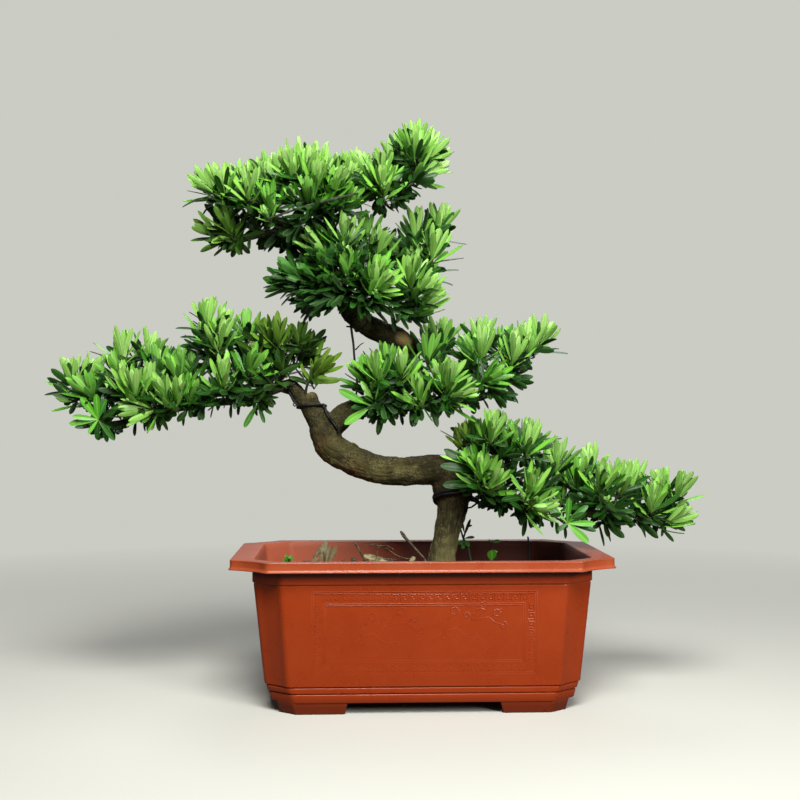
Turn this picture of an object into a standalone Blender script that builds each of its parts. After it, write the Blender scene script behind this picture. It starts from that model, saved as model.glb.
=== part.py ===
"""A buddhist pine bonsai, a small-leaved podocarp, rooted in a rectangular moulded plastic pot.

Metres, +Z up, seen from the front along +Y with +X to the right. The origin is on the ground under
the middle of the pot. The trunk leans out to the left, so the tree hangs well past the pot there.
"""

import math
import random

import bmesh
import bpy
from mathutils import Vector
from mathutils.bvhtree import BVHTree

# Driving dimensions. A half size is (along X, along Y); a corner is how much its chamfer takes off each.
GAP = 0.0003
RIM_TOP = 0.1525
RIM_FACE = 0.0100
RIM_ROUNDING = 0.0012
RIM_HALF, RIM_CORNER = (0.1955, 0.1125), (0.0385, 0.0295)
OPENING_HALF, OPENING_CORNER = (0.1702, 0.0970), (0.0280, 0.0225)
COLLAR_HALF, COLLAR_CORNER = (0.1725, 0.1020), (0.0300, 0.0240)
COLLAR_BOTTOM = 0.1300
WALL_TOP, WALL_TOP_HALF = 0.1275, (0.1700, 0.1000)
WALL_BOTTOM, WALL_BOTTOM_HALF = 0.0283, (0.1600, 0.0965)
WALL_CORNER = (0.0260, 0.0210)
BAND_CORNER = (0.0240, 0.0195)
UNDERSIDE = 0.0115
FLOOR_TOP = 0.0160
FLOOR_HALF = (0.1510, 0.0895)
CORNER_SCOOP = 0.0012
FOOT_TOP_HALF, FOOT_BOTTOM_HALF = (0.1480, 0.0932), (0.1440, 0.0915)
FOOT_CORNER = (0.0165, 0.0130)
FOOT_INNER, FOOT_SLOPE, FOOT_SUNK = (0.0790, 0.0480), 0.0035, 0.0015
DRAIN_RADIUS, DRAIN_X = 0.0110, 0.0450
SOIL_EDGE, SOIL_MOUND = 0.1220, 0.0110
SOIL_LUMPS, SOIL_WAVES = 0.0007, (90, 140)
SOIL_RINGS = (1.0, 0.78, 0.54, 0.28, 0.08)
HOLE_GAP = 0.0004
SETTLING_HEIGHT = 0.05
TRUNK_SIDES, STUB_SIDES, LIMB_SIDES, STICK_SIDES = 12, 8, 6, 5
BURIED_TRUNK_POINTS = 5
BARK_LUMPS, BARK_WAVES = 0.05, (47, 61)
ROUND_EDGE = math.radians(50)
WIRE_SIDES = 5
WIRE_GAP, WIRE_SEARCH, WIRE_LAYINGS = 0.0008, 0.0035, 8
LEAF_LENGTH, LEAF_WIDTH = 0.0345, 0.0086
LEAF_WIDEST = 0.58
LEAF_SAMPLES = (0.25, 0.4, 0.55, 0.7, 0.85, 1.0)
LEAF_REACH, LEAF_SPACING = 0.0037, 0.0060
LEAF_DROOP = 0.0015
THIN_KEEL = 0.0011
TOP_LEAF_OPENING = 5
TWIG_ROOT, TWIG_TIP = 0.0020, 0.0016
SHORTEST_TWIG, BENT_TWIG = 0.0080, 0.0350
SAGGING_BOW, RISING_BOW = 0.10, 0.06
CLEAR_OF_TRUNK = 2
TRIED_STARTS, TRIED_STEP = 24, 4
BUD_LENGTH, BUD_TIP = 0.0036, 0.0014
OPENING_PLAY, LENGTH_PLAY = 4.0, (0.90, 1.06)
TOWARDS_VIEWER = (0.05, -1.0, 0.10)
SHARPEST_BEND = math.radians(60)
SIDEWAYS_LEAN = 14.0
LOWEST_LEAF = 0.1570

for thing in list(bpy.data.objects):
    bpy.data.objects.remove(thing)


def finish(name, colour, roughness, metallic=0.0):
    material = bpy.data.materials.new(name)
    material.use_nodes = True
    shader = material.node_tree.nodes["Principled BSDF"]
    shader.inputs["Base Color"].default_value = (*colour, 1.0)
    shader.inputs["Roughness"].default_value = roughness
    shader.inputs["Metallic"].default_value = metallic
    return material


TERRACOTTA = finish("terracotta_plastic", (0.36, 0.062, 0.020), 0.42)
EARTH = finish("potting_soil", (0.035, 0.024, 0.016), 0.95)
BARK = finish("podocarp_bark", (0.120, 0.088, 0.050), 0.85)
FOLIAGE = finish("podocarp_leaves", (0.075, 0.235, 0.030), 0.45)
BLACK_WIRE = finish("black_training_wire", (0.010, 0.010, 0.010), 0.55)
DEAD_LEAF = finish("dead_leaves", (0.230, 0.180, 0.100), 0.85)
DEAD_WOOD = finish("dead_wood", (0.060, 0.035, 0.020), 0.90)
SMALL_GREEN = finish("seedling_green", (0.050, 0.160, 0.030), 0.55)


def new_object(name, solid, material):
    points, faces = solid
    mesh = bpy.data.meshes.new(name)
    mesh.from_pydata([tuple(point) for point in points], [], faces)
    mesh.materials.append(material)
    made = bpy.data.objects.new(name, mesh)
    bpy.context.scene.collection.objects.link(made)
    return made


def shade_round(made):
    """Smooth shading over a round piece, with its cut ends left sharp."""
    made.data.shade_smooth()
    made.data.set_sharp_from_angle(angle=ROUND_EDGE)


def face_out(mesh_object):
    """Turns the faces of a closed mesh so that they point out of it."""
    work = bmesh.new()
    work.from_mesh(mesh_object.data)
    bmesh.ops.recalc_face_normals(work, faces=work.faces)
    if work.calc_volume(signed=True) < 0:
        bmesh.ops.reverse_faces(work, faces=work.faces)
    work.to_mesh(mesh_object.data)
    work.free()


def shells(work):
    """The groups of faces that hang together by their edges."""
    left = set(work.faces)
    groups = []
    while left:
        group, front = set(), [left.pop()]
        while front:
            face = front.pop()
            group.add(face)
            for edge in face.edges:
                for other in edge.link_faces:
                    if other in left:
                        left.remove(other)
                        front.append(other)
        groups.append(group)
    return groups


def enclosed(group):
    """The signed volume inside one shell of triangles."""
    total = 0.0
    for face in group:
        first, second, third = (corner.co for corner in face.verts)
        total += first.dot(second.cross(third)) / 6.0
    return total


def keep_one_body(mesh):
    """Keeps the largest shell: a sealed hollow is filled and a loose scrap is dropped."""
    work = bmesh.new()
    work.from_mesh(mesh)
    bmesh.ops.triangulate(work, faces=work.faces)
    groups = sorted(shells(work), key=enclosed)
    for group in groups[:-1]:
        bmesh.ops.delete(work, geom=list(group), context="FACES")
    work.to_mesh(mesh)
    work.free()


def combine(base, others, operation="UNION", solver="EXACT"):
    """Joins the other objects to the base, or cuts them from it, and removes them."""
    holder = bpy.data.collections.new("operands")
    bpy.context.scene.collection.children.link(holder)
    for other in others:
        bpy.context.scene.collection.objects.unlink(other)
        holder.objects.link(other)
    modifier = base.modifiers.new("Boolean", "BOOLEAN")
    modifier.operation = operation
    modifier.solver = solver
    modifier.operand_type = "COLLECTION"
    modifier.collection = holder
    graph = bpy.context.evaluated_depsgraph_get()
    mesh = bpy.data.meshes.new_from_object(base.evaluated_get(graph))
    base.modifiers.clear()
    mesh.name = base.name
    base.data = mesh
    for other in others:
        bpy.data.objects.remove(other)
    bpy.data.collections.remove(holder)
    keep_one_body(mesh)


def fused(name, solids, material, solver="EXACT"):
    """One object from solids that overlap each other."""
    parts = [new_object(f"{name}_{number}", solid, material) for number, solid in enumerate(solids)]
    for part in parts:
        face_out(part)
    parts[0].name = name
    combine(parts[0], parts[1:], solver=solver)
    return parts[0]


def loft(rings):
    """A closed solid through rings with the same number of points, with a flat face at each end."""
    count = len(rings[0])
    faces = [tuple(range(count))[::-1]]
    for ring in range(len(rings) - 1):
        low, high = ring * count, (ring + 1) * count
        for side in range(count):
            after = (side + 1) % count
            faces.append((low + side, low + after, high + after, high + side))
    faces.append(tuple(range(len(rings) * count - count, len(rings) * count)))
    return [point for ring in rings for point in ring], faces


def tangents(route):
    """The unit direction at each point of a route, from its neighbours on both sides."""
    last = len(route) - 1
    return [(route[min(at + 1, last)] - route[max(at - 1, 0)]).normalized() for at in range(last + 1)]


def cross_sections(directions):
    """Two axes across each direction, carried along so that a tube doesn't twist."""
    side = Vector((0, 1, 0)) if abs(directions[0].y) < 0.9 else Vector((1, 0, 0))
    pairs = []
    for direction in directions:
        side = (side - direction * side.dot(direction)).normalized()
        pairs.append((side, direction.cross(side)))
    return pairs


def tube(route, radii, sides, directions=None, knobbly=0.0):
    """A tapering limb along a route; knobbly makes its outline uneven by that share of the radius."""
    route = [Vector(point) for point in route]
    rings = []
    for at, (side, across) in enumerate(cross_sections(directions or tangents(route))):
        ring = []
        for step in range(sides):
            turn = 2 * math.pi * step / sides
            uneven = math.sin(3 * turn + BARK_WAVES[0] * route[at].z)
            uneven += math.sin(2 * turn - BARK_WAVES[1] * route[at].x)
            reach = radii[at] * (1 + 0.5 * knobbly * uneven)
            ring.append(route[at] + reach * (math.cos(turn) * side + math.sin(turn) * across))
        rings.append(ring)
    return loft(rings)


def between(low, high, share):
    return low + (high - low) * share


def soft_chamfer(half, corner, height, scoop=0.0):
    """A rectangle with chamfered corners, each chamfer pulled in by scoop at its middle."""
    ring = []
    for sign_x, sign_y in ((1, -1), (1, 1), (-1, 1), (-1, -1)):
        beside = Vector((sign_x * (half[0] - corner[0]), sign_y * half[1], height))
        ahead = Vector((sign_x * half[0], sign_y * (half[1] - corner[1]), height))
        inward = Vector((-sign_x * corner[1], -sign_y * corner[0], 0)).normalized()
        middle = (beside + ahead) / 2 + inward * scoop
        ring += [beside, middle, ahead] if sign_x * sign_y < 0 else [ahead, middle, beside]
    return ring


def inset(half, amount):
    return half[0] - amount, half[1] - amount


# The pot: one thin-walled moulding, a tapered tray with a wide flat rim, two bands round its base
# and four corner feet.
INNER_PROFILE = (
    (FLOOR_TOP, FLOOR_HALF, BAND_CORNER),
    (0.0260, (0.1522, 0.0902), BAND_CORNER),
    (0.0320, (0.1575, 0.0935), WALL_CORNER),
    (RIM_TOP, OPENING_HALF, OPENING_CORNER),
)
OUTER_PROFILE = (
    (RIM_TOP, inset(RIM_HALF, RIM_ROUNDING), RIM_CORNER, 0.0),
    (RIM_TOP - RIM_ROUNDING, RIM_HALF, RIM_CORNER, 0.0),
    (RIM_TOP - RIM_FACE, RIM_HALF, RIM_CORNER, 0.0),
    (RIM_TOP - RIM_FACE, COLLAR_HALF, COLLAR_CORNER, 0.0),
    (COLLAR_BOTTOM, COLLAR_HALF, COLLAR_CORNER, 0.0),
    (WALL_TOP, WALL_TOP_HALF, WALL_CORNER, CORNER_SCOOP),
    (WALL_BOTTOM, WALL_BOTTOM_HALF, WALL_CORNER, CORNER_SCOOP),
    (0.0275, (0.1570, 0.0942), BAND_CORNER, 0.0),
    (0.0266, (0.1582, 0.0957), BAND_CORNER, 0.0),
    (0.0215, (0.1566, 0.0952), BAND_CORNER, 0.0),
    (0.0208, (0.1545, 0.0932), BAND_CORNER, 0.0),
    (0.0199, (0.1555, 0.0947), BAND_CORNER, 0.0),
    (UNDERSIDE, (0.1536, 0.0938), BAND_CORNER, 0.0),
)


def pot_foot(sign_x, sign_y):
    """A block under one corner, chamfered as the wall above it is."""
    rings = []
    ends = ((0.0, FOOT_BOTTOM_HALF, 0.0), (UNDERSIDE + FOOT_SUNK, FOOT_TOP_HALF, FOOT_SLOPE))
    for height, half, slope in ends:
        inner = (FOOT_INNER[0] - slope, FOOT_INNER[1] - slope)
        plan = (
            (inner[0], half[1]),
            (half[0] - FOOT_CORNER[0], half[1]),
            (half[0], half[1] - FOOT_CORNER[1]),
            (half[0], inner[1]),
            (inner[0], inner[1]),
        )
        rings.append([Vector((sign_x * x, sign_y * y, height)) for x, y in plan])
    return loft(rings)


def upright(x, y, low, high, radius, sides=12):
    """A plain round post."""
    return tube([(x, y, low), (x, y, high)], [radius, radius], sides)


def build_pot():
    rings = [soft_chamfer(half, corner, height) for height, half, corner in INNER_PROFILE]
    rings += [soft_chamfer(half, corner, height, scoop) for height, half, corner, scoop in OUTER_PROFILE]
    pot = new_object("pot", loft(rings), TERRACOTTA)
    face_out(pot)
    feet = [new_object("foot", pot_foot(x, y), TERRACOTTA) for x in (1, -1) for y in (1, -1)]
    drains = [
        new_object("drain", upright(x, 0, 0.0, UNDERSIDE + FLOOR_TOP, DRAIN_RADIUS), TERRACOTTA)
        for x in (DRAIN_X, -DRAIN_X)
    ]
    for part in feet + drains:
        face_out(part)
    combine(pot, feet)
    combine(pot, drains, operation="DIFFERENCE")


# The wood. Each point is (x, y, z, radius).
UPRIGHT_TRUNK = (
    (0.022, 0.000, 0.075, 0.0110),
    (0.023, 0.000, 0.100, 0.0130),
    (0.024, 0.000, 0.128, 0.0148),
    (0.026, 0.000, 0.146, 0.0140),
    (0.028, 0.000, 0.160, 0.0136),
    (0.031, 0.000, 0.176, 0.0138),
    (0.034, 0.000, 0.188, 0.0152),
    (0.036, 0.000, 0.201, 0.0168),
    (0.037, 0.000, 0.215, 0.0180),
    (0.036, 0.000, 0.229, 0.0180),
    (0.033, 0.000, 0.241, 0.0140),
    (0.031, 0.000, 0.249, 0.0070),
)
LEVEL_TRUNK = (
    (0.052, 0.000, 0.228, 0.0090),
    (0.044, 0.000, 0.234, 0.0150),
    (0.026, 0.000, 0.239, 0.0165),
    (0.009, 0.000, 0.240, 0.0160),
    (-0.018, 0.000, 0.238, 0.0150),
    (-0.044, 0.000, 0.241, 0.0148),
    (-0.066, 0.000, 0.249, 0.0152),
    (-0.082, 0.000, 0.261, 0.0158),
    (-0.094, 0.000, 0.275, 0.0160),
    (-0.104, 0.000, 0.291, 0.0135),
    (-0.115, 0.000, 0.307, 0.0110),
    (-0.124, 0.000, 0.317, 0.0088),
    (-0.133, 0.000, 0.326, 0.0065),
)
SECOND_TRUNK = (
    (-0.090, 0.000, 0.290, 0.0110),
    (-0.079, 0.004, 0.301, 0.0120),
    (-0.063, 0.008, 0.306, 0.0115),
    (-0.046, 0.012, 0.311, 0.0115),
    (-0.029, 0.018, 0.322, 0.0115),
    (-0.016, 0.024, 0.338, 0.0112),
    (-0.009, 0.028, 0.355, 0.0112),
    (-0.011, 0.028, 0.371, 0.0118),
    (-0.022, 0.025, 0.382, 0.0122),
    (-0.039, 0.020, 0.388, 0.0122),
    (-0.057, 0.014, 0.396, 0.0116),
    (-0.072, 0.006, 0.408, 0.0108),
    (-0.082, 0.000, 0.424, 0.0098),
    (-0.090, 0.000, 0.443, 0.0088),
    (-0.104, 0.000, 0.462, 0.0080),
    (-0.120, 0.002, 0.477, 0.0073),
    (-0.132, 0.004, 0.489, 0.0066),
    (-0.136, 0.004, 0.500, 0.0055),
)
STUB = ((-0.111, 0.000, 0.300, 0.0064), (-0.1146, -0.002, 0.3213, 0.0062))

# Side branches. The first point is inside the trunk and the second is where the branch's own leafy
# stems begin, so the trunk holds the stretch between them.
LIMBS = {
    "left_branch": (
        (-0.124, 0.000, 0.317, 0.0070), (-0.140, 0.000, 0.331, 0.0054), (-0.160, 0.000, 0.323, 0.0050),
        (-0.180, 0.000, 0.316, 0.0048), (-0.198, 0.000, 0.313, 0.0046), (-0.222, 0.000, 0.311, 0.0044),
        (-0.247, 0.000, 0.307, 0.0041), (-0.271, 0.000, 0.302, 0.0038), (-0.289, 0.000, 0.297, 0.0036),
        (-0.310, 0.000, 0.291, 0.0032), (-0.334, 0.000, 0.288, 0.0026),
    ),
    "right_branch": (
        (-0.052, 0.010, 0.309, 0.0066), (-0.036, 0.000, 0.306, 0.0056), (-0.015, -0.008, 0.306, 0.0050),
        (0.014, -0.008, 0.310, 0.0046), (0.038, -0.008, 0.313, 0.0042), (0.063, -0.006, 0.316, 0.0038),
        (0.085, -0.004, 0.325, 0.0032), (0.100, 0.000, 0.338, 0.0024),
    ),
    "low_branch": (
        (0.040, 0.000, 0.232, 0.0095), (0.062, 0.000, 0.223, 0.0082), (0.077, 0.000, 0.216, 0.0072),
        (0.091, 0.000, 0.211, 0.0064), (0.105, 0.000, 0.207, 0.0058), (0.136, 0.000, 0.200, 0.0052),
        (0.172, 0.000, 0.194, 0.0046), (0.202, 0.000, 0.191, 0.0041), (0.229, 0.000, 0.190, 0.0036),
        (0.253, 0.000, 0.191, 0.0028),
    ),
    "middle_left_branch": (
        (-0.085, 0.000, 0.431, 0.0060), (-0.102, 0.000, 0.437, 0.0048), (-0.112, 0.000, 0.439, 0.0042),
        (-0.123, 0.000, 0.441, 0.0032),
    ),
    "middle_front_branch": (
        (-0.073, 0.004, 0.409, 0.0052), (-0.071, -0.013, 0.414, 0.0044), (-0.068, -0.028, 0.421, 0.0040),
        (-0.064, -0.037, 0.431, 0.0030),
    ),
    "middle_right_branch": (
        (-0.066, 0.008, 0.405, 0.0058), (-0.053, 0.001, 0.416, 0.0050), (-0.036, 0.000, 0.421, 0.0046),
        (-0.015, 0.000, 0.425, 0.0041), (0.003, 0.000, 0.436, 0.0035), (0.014, 0.002, 0.455, 0.0026),
    ),
    "crown_low_branch": (
        (-0.134, 0.004, 0.491, 0.0048), (-0.151, 0.002, 0.494, 0.0042), (-0.169, 0.000, 0.492, 0.0038),
        (-0.191, 0.000, 0.485, 0.0030),
    ),
    "crown_left_branch": (
        (-0.135, 0.004, 0.496, 0.0046), (-0.149, 0.003, 0.505, 0.0040), (-0.165, 0.000, 0.514, 0.0036),
        (-0.184, 0.000, 0.522, 0.0032), (-0.203, 0.000, 0.527, 0.0026),
    ),
    "crown_right_branch": (
        (-0.136, 0.004, 0.498, 0.0055), (-0.134, 0.004, 0.509, 0.0050), (-0.129, 0.002, 0.516, 0.0047),
        (-0.120, 0.000, 0.523, 0.0044), (-0.093, 0.000, 0.531, 0.0040), (-0.072, 0.000, 0.536, 0.0037),
        (-0.053, 0.000, 0.537, 0.0035), (-0.035, 0.000, 0.540, 0.0033), (-0.015, 0.000, 0.550, 0.0029),
        (0.001, 0.000, 0.566, 0.0023),
    ),
    "knot_sprout": (
        (-0.118, 0.000, 0.309, 0.0034), (-0.121, -0.008, 0.324, 0.0026), (-0.118, -0.010, 0.333, 0.0022),
        (-0.113, -0.010, 0.341, 0.0018),
    ),
}


def split(points):
    return [Vector(point[:3]) for point in points], [point[3] for point in points]


def limb_piece(name, first, last, start_gap=0.0):
    """The stretch of a side branch between two of its points, cut square to its run at each end."""
    route, radii = split(LIMBS[name])
    directions = tangents(route)
    route[first] = route[first] + directions[first] * start_gap
    return route[first:last], radii[first:last], directions[first:last]


def build_trunk():
    solids = []
    for points in (UPRIGHT_TRUNK, LEVEL_TRUNK, SECOND_TRUNK):
        solids.append(tube(*split(points), TRUNK_SIDES, knobbly=BARK_LUMPS))
    solids.append(tube(*split(STUB), STUB_SIDES))
    for name in LIMBS:
        route, radii, directions = limb_piece(name, 0, 2)
        solids.append(tube(route, radii, LIMB_SIDES, directions))
    trunk = fused("trunk", solids, BARK)
    shade_round(trunk)
    return trunk


# What stands in the soil: stems as (x, y, z, radius), each in a plain hole of its own.
STEMS = {
    "anchor_wire": (
        (0.1180, 0.020, 0.104, 0.0010), (0.1185, 0.020, 0.132, 0.0010), (0.1175, 0.020, 0.160, 0.0009),
    ),
    "dead_twig": (
        (0.0160, -0.019, 0.108, 0.0013), (0.0140, -0.018, 0.128, 0.0013), (0.0040, -0.015, 0.146, 0.0012),
        (-0.0024, -0.014, 0.153, 0.0013), (-0.0150, -0.012, 0.167, 0.0018), (-0.0197, -0.012, 0.172, 0.0010),
    ),
    "seedling_right": (
        (0.0585, 0.012, 0.108, 0.0014), (0.0580, 0.012, 0.130, 0.0014), (0.0560, 0.012, 0.146, 0.0013),
        (0.0510, 0.012, 0.160, 0.0012), (0.0485, 0.011, 0.166, 0.0011),
    ),
    "seedling_left": ((-0.1410, 0.010, 0.108, 0.0011), (-0.1410, 0.010, 0.1465, 0.0010)),
    "weed": (
        (0.0805, 0.015, 0.108, 0.0011), (0.0795, 0.015, 0.147, 0.0010), (0.0810, 0.015, 0.161, 0.0009),
    ),
}
# Small leaves: (root, tip, width), facing the viewer.
STEM_LEAVES = {
    "seedling_right": (
        ((0.0490, 0.0110, 0.1650), (0.0560, 0.010, 0.183), 0.0030),
        ((0.0490, 0.0110, 0.1650), (0.0455, 0.016, 0.180), 0.0028),
        ((0.0495, 0.0115, 0.1635), (0.0590, 0.016, 0.166), 0.0034),
        ((0.0505, 0.0120, 0.1610), (0.0530, 0.002, 0.157), 0.0034),
        ((0.0500, 0.0120, 0.1620), (0.0480, 0.024, 0.163), 0.0034),
    ),
    "seedling_left": (
        ((-0.1410, 0.0100, 0.1455), (-0.1480, 0.008, 0.1470), 0.0045),
        ((-0.1410, 0.0100, 0.1455), (-0.1345, 0.008, 0.1480), 0.0045),
        ((-0.1410, 0.0100, 0.1455), (-0.1415, 0.004, 0.1530), 0.0045),
        ((-0.1410, 0.0100, 0.1455), (-0.1385, 0.017, 0.1500), 0.0045),
    ),
    "weed": (
        ((0.0797, 0.0150, 0.1440), (0.0780, 0.006, 0.1565), 0.0100),
        ((0.0808, 0.0150, 0.1595), (0.0880, 0.013, 0.1625), 0.0045),
        ((0.0795, 0.0150, 0.1480), (0.0870, 0.024, 0.1540), 0.0060),
    ),
}
# Dead leaves and stalks that lie on the soil: sticks as tube routes, leaves as above.
LITTER = {
    "dry_leaves_left": (
        (((-0.1220, 0.021, 0.1300, 0.0018), (-0.0930, 0.019, 0.1300, 0.0015)),),
        (
            ((-0.1180, 0.021, 0.1300), (-0.1050, 0.020, 0.1555), 0.0062),
            ((-0.1050, 0.020, 0.1300), (-0.1000, 0.022, 0.1610), 0.0070),
            ((-0.1000, 0.019, 0.1300), (-0.0890, 0.016, 0.1545), 0.0064),
            ((-0.1100, 0.020, 0.1300), (-0.1080, 0.034, 0.1480), 0.0060),
        ),
    ),
    "dry_leaves_right": (
        (
            ((-0.0590, 0.020, 0.1340, 0.0017), (-0.0290, 0.021, 0.1340, 0.0015)),
            ((-0.0535, 0.020, 0.1335, 0.0015), (-0.0680, 0.019, 0.1580, 0.0013)),
            (
                (-0.0445, 0.020, 0.1335, 0.0010), (-0.0445, 0.020, 0.1470, 0.0010),
                (-0.0426, 0.020, 0.1552, 0.0010),
            ),
            (
                (-0.0530, 0.020, 0.1560, 0.0009), (-0.0426, 0.020, 0.1552, 0.0010),
                (-0.0390, 0.020, 0.1548, 0.0010), (-0.0294, 0.020, 0.1486, 0.0010),
                (-0.0203, 0.020, 0.1434, 0.0010), (-0.0060, 0.020, 0.1395, 0.0009),
            ),
        ),
        (
            ((-0.0320, 0.021, 0.1345), (-0.0590, 0.017, 0.1488), 0.0085),
            ((-0.0500, 0.020, 0.1340), (-0.0560, 0.034, 0.1450), 0.0070),
        ),
    ),
}


def loose_leaf(root, tip, width):
    """A thin leaf from its root to its tip, widest past its middle, with a low keel behind."""
    root, tip = Vector(root), Vector(tip)
    way = tip - root
    across = way.cross(Vector((0.2, -1.0, 0.3))).normalized()
    behind = across.cross(way).normalized() * (THIN_KEEL if across.cross(way).y > 0 else -THIN_KEEL)
    widest = root + way * LEAF_WIDEST
    points = [root, widest - across * width / 2, widest + across * width / 2, widest + behind, tip]
    return points, [(0, 2, 1), (0, 3, 2), (0, 1, 3), (4, 1, 2), (4, 2, 3), (4, 3, 1)]


def soil_ring(share, height, half, corner):
    """The plan of the soil's edge, shrunk to a share, with its mounded and slightly uneven height."""
    ring = soft_chamfer(half, corner, 0)
    for point in ring:
        point.x *= share
        point.y *= share
        point.z = height + SOIL_MOUND * (1 - share ** 2)
        if share < 1:
            point.z += SOIL_LUMPS * math.sin(SOIL_WAVES[0] * point.x + SOIL_WAVES[1] * point.y)
    return ring


def hole_for(points, sides, last=None, knobbly=0.0):
    """A cutter for the hole that a stem stands in, a little wider and deeper than the stem."""
    route, radii = split(points)
    directions = tangents(route)[:last]
    route = route[:last]
    route[0] = route[0] - directions[0] * GAP
    radii = [radius + HOLE_GAP for radius in radii[:last]]
    hole = new_object("hole", tube(route, radii, sides, directions, knobbly), EARTH)
    face_out(hole)
    return hole


def build_soil():
    rings = []
    for height, half, corner in INNER_PROFILE[:-1]:
        rings.append(soft_chamfer(inset(half, GAP), corner, height + GAP))
    _, (low_x, low_y), low_corner = INNER_PROFILE[-2]
    up = (SOIL_EDGE - INNER_PROFILE[-2][0]) / (RIM_TOP - INNER_PROFILE[-2][0])
    half = inset((between(low_x, OPENING_HALF[0], up), between(low_y, OPENING_HALF[1], up)), GAP)
    corner = (between(low_corner[0], OPENING_CORNER[0], up), between(low_corner[1], OPENING_CORNER[1], up))
    rings += [soil_ring(share, SOIL_EDGE, half, corner) for share in SOIL_RINGS]
    soil = new_object("soil", loft(rings), EARTH)
    face_out(soil)
    cutters = [hole_for(UPRIGHT_TRUNK, TRUNK_SIDES, BURIED_TRUNK_POINTS, BARK_LUMPS)]
    cutters += [hole_for(points, LIMB_SIDES) for points in STEMS.values()]
    combine(soil, cutters, operation="DIFFERENCE")
    return soil


def surface_of(solid):
    return BVHTree.FromObject(solid, bpy.context.evaluated_depsgraph_get())


def settle(piece, ground):
    """Lowers or lifts a loose piece until it rests on the soil."""
    gaps = []
    for vertex in piece.data.vertices:
        hit, _, _, _ = ground.ray_cast(vertex.co + Vector((0, 0, SETTLING_HEIGHT)), Vector((0, 0, -1)))
        gaps.append(vertex.co.z - hit.z)
    for vertex in piece.data.vertices:
        vertex.co.z -= min(gaps) - GAP


def build_small_things(soil):
    finishes = {"anchor_wire": BLACK_WIRE, "dead_twig": DEAD_WOOD}
    for name, points in STEMS.items():
        solids = [tube(*split(points), LIMB_SIDES)]
        solids += [loose_leaf(*leaf) for leaf in STEM_LEAVES.get(name, ())]
        material = finishes.get(name, SMALL_GREEN)
        if name in STEM_LEAVES:
            fused(name, solids, material)
        else:
            stem = new_object(name, solids[0], material)
            face_out(stem)
            shade_round(stem)
    ground = surface_of(soil)
    for name, (sticks, leaves) in LITTER.items():
        solids = [tube(*split(stick), STICK_SIDES) for stick in sticks]
        solids += [loose_leaf(*leaf) for leaf in leaves]
        settle(fused(name, solids, DEAD_LEAF), ground)


# The training wires: rings round the wood as (centre, the way through the ring, reach, points), and
# strands as (x, y, z) points. Both are laid on the bark where they touch it.
WIRES = {
    "trunk_tie": (
        0.0018,
        (((0.0357, 0.000, 0.2085), (-0.13, 0.34, 0.93), 0.0205, 18),),
        (
            (((0.0555, -0.003, 0.2110), (0.0605, -0.005, 0.2065)), 0.0018),
            (((0.0590, -0.005, 0.2080), (0.0632, -0.005, 0.2025)), 0.0034),
            (((0.0612, -0.006, 0.2040), (0.0555, -0.009, 0.1995), (0.0492, -0.012, 0.1948)), 0.0010),
        ),
    ),
    "fork_wire": (
        0.0015,
        (
            ((-0.1345, 0.000, 0.3275), (-0.60, 0.0, 0.80), 0.0090, 10),
            ((-0.1150, 0.000, 0.3075), (-0.10, 0.0, 0.99), 0.0150, 18),
        ),
        (
            (
                ((-0.1406, -0.001, 0.3231), (-0.1381, -0.0036, 0.3200), (-0.1332, -0.0046, 0.3134),
                 (-0.1287, -0.0045, 0.3064)), 0.0015,
            ),
            (
                ((-0.1006, -0.0047, 0.3091), (-0.0998, -0.0105, 0.3020), (-0.0953, -0.0126, 0.2949),
                 (-0.0913, -0.0133, 0.2892), (-0.0881, -0.0140, 0.2844), (-0.0846, -0.0142, 0.2801)), 0.0015,
            ),
        ),
    ),
    "guy_wire": (
        0.0012,
        (
            ((-0.0600, 0.013, 0.3980), (-0.72, -0.33, 0.61), 0.0135, 12),
            ((-0.0645, 0.008, 0.3063), (0.93, 0.23, 0.28), 0.0135, 12),
        ),
        (
            (
                ((-0.0690, 0.0125, 0.3875), (-0.0715, 0.004, 0.3830), (-0.0705, -0.003, 0.3738),
                 (-0.0693, -0.004, 0.3577), (-0.0674, -0.005, 0.3453), (-0.0665, -0.005, 0.3269),
                 (-0.0672, 0.000, 0.3215), (-0.0680, 0.007, 0.3195)), 0.0012,
            ),
            (((-0.0690, -0.005, 0.3262), (-0.0625, -0.005, 0.3242)), 0.0030),
            (((-0.0645, -0.005, 0.3235), (-0.0606, -0.005, 0.3205)), 0.0022),
        ),
    ),
}


def laid_on(bark, points, radius):
    """Points near the bark moved to lie on it."""
    laid = []
    for point in points:
        for _ in range(WIRE_LAYINGS):
            near, normal, _, distance = bark.find_nearest(point)
            if (point - near).dot(normal) < 0:
                point = near + normal * (radius + WIRE_GAP)
            elif distance < radius + WIRE_SEARCH:
                point = near + (point - near).normalized() * (radius + WIRE_GAP)
        laid.append(point)
    return laid


def ring_of_wire(bark, centre, way, reach, count, radius):
    """A closed ring of wire round the wood, as a tube that runs back into itself."""
    way = Vector(way).normalized()
    (side, across), = cross_sections([way])
    turns = [2 * math.pi * step / count for step in range(count)]
    route = [Vector(centre) + reach * (math.cos(turn) * side + math.sin(turn) * across) for turn in turns]
    route = laid_on(bark, route, radius)
    points = []
    for at in range(count):
        run = (route[(at + 1) % count] - route[at - 1]).normalized()
        out = run.cross(way).normalized()
        for turn in (2 * math.pi * step / WIRE_SIDES for step in range(WIRE_SIDES)):
            points.append(route[at] + radius * (math.cos(turn) * out + math.sin(turn) * out.cross(run)))
    faces = []
    for at in range(count):
        low, high = at * WIRE_SIDES, (at + 1) % count * WIRE_SIDES
        for step in range(WIRE_SIDES):
            after = (step + 1) % WIRE_SIDES
            faces.append((low + step, low + after, high + after, high + step))
    return (points, faces), route


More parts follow.
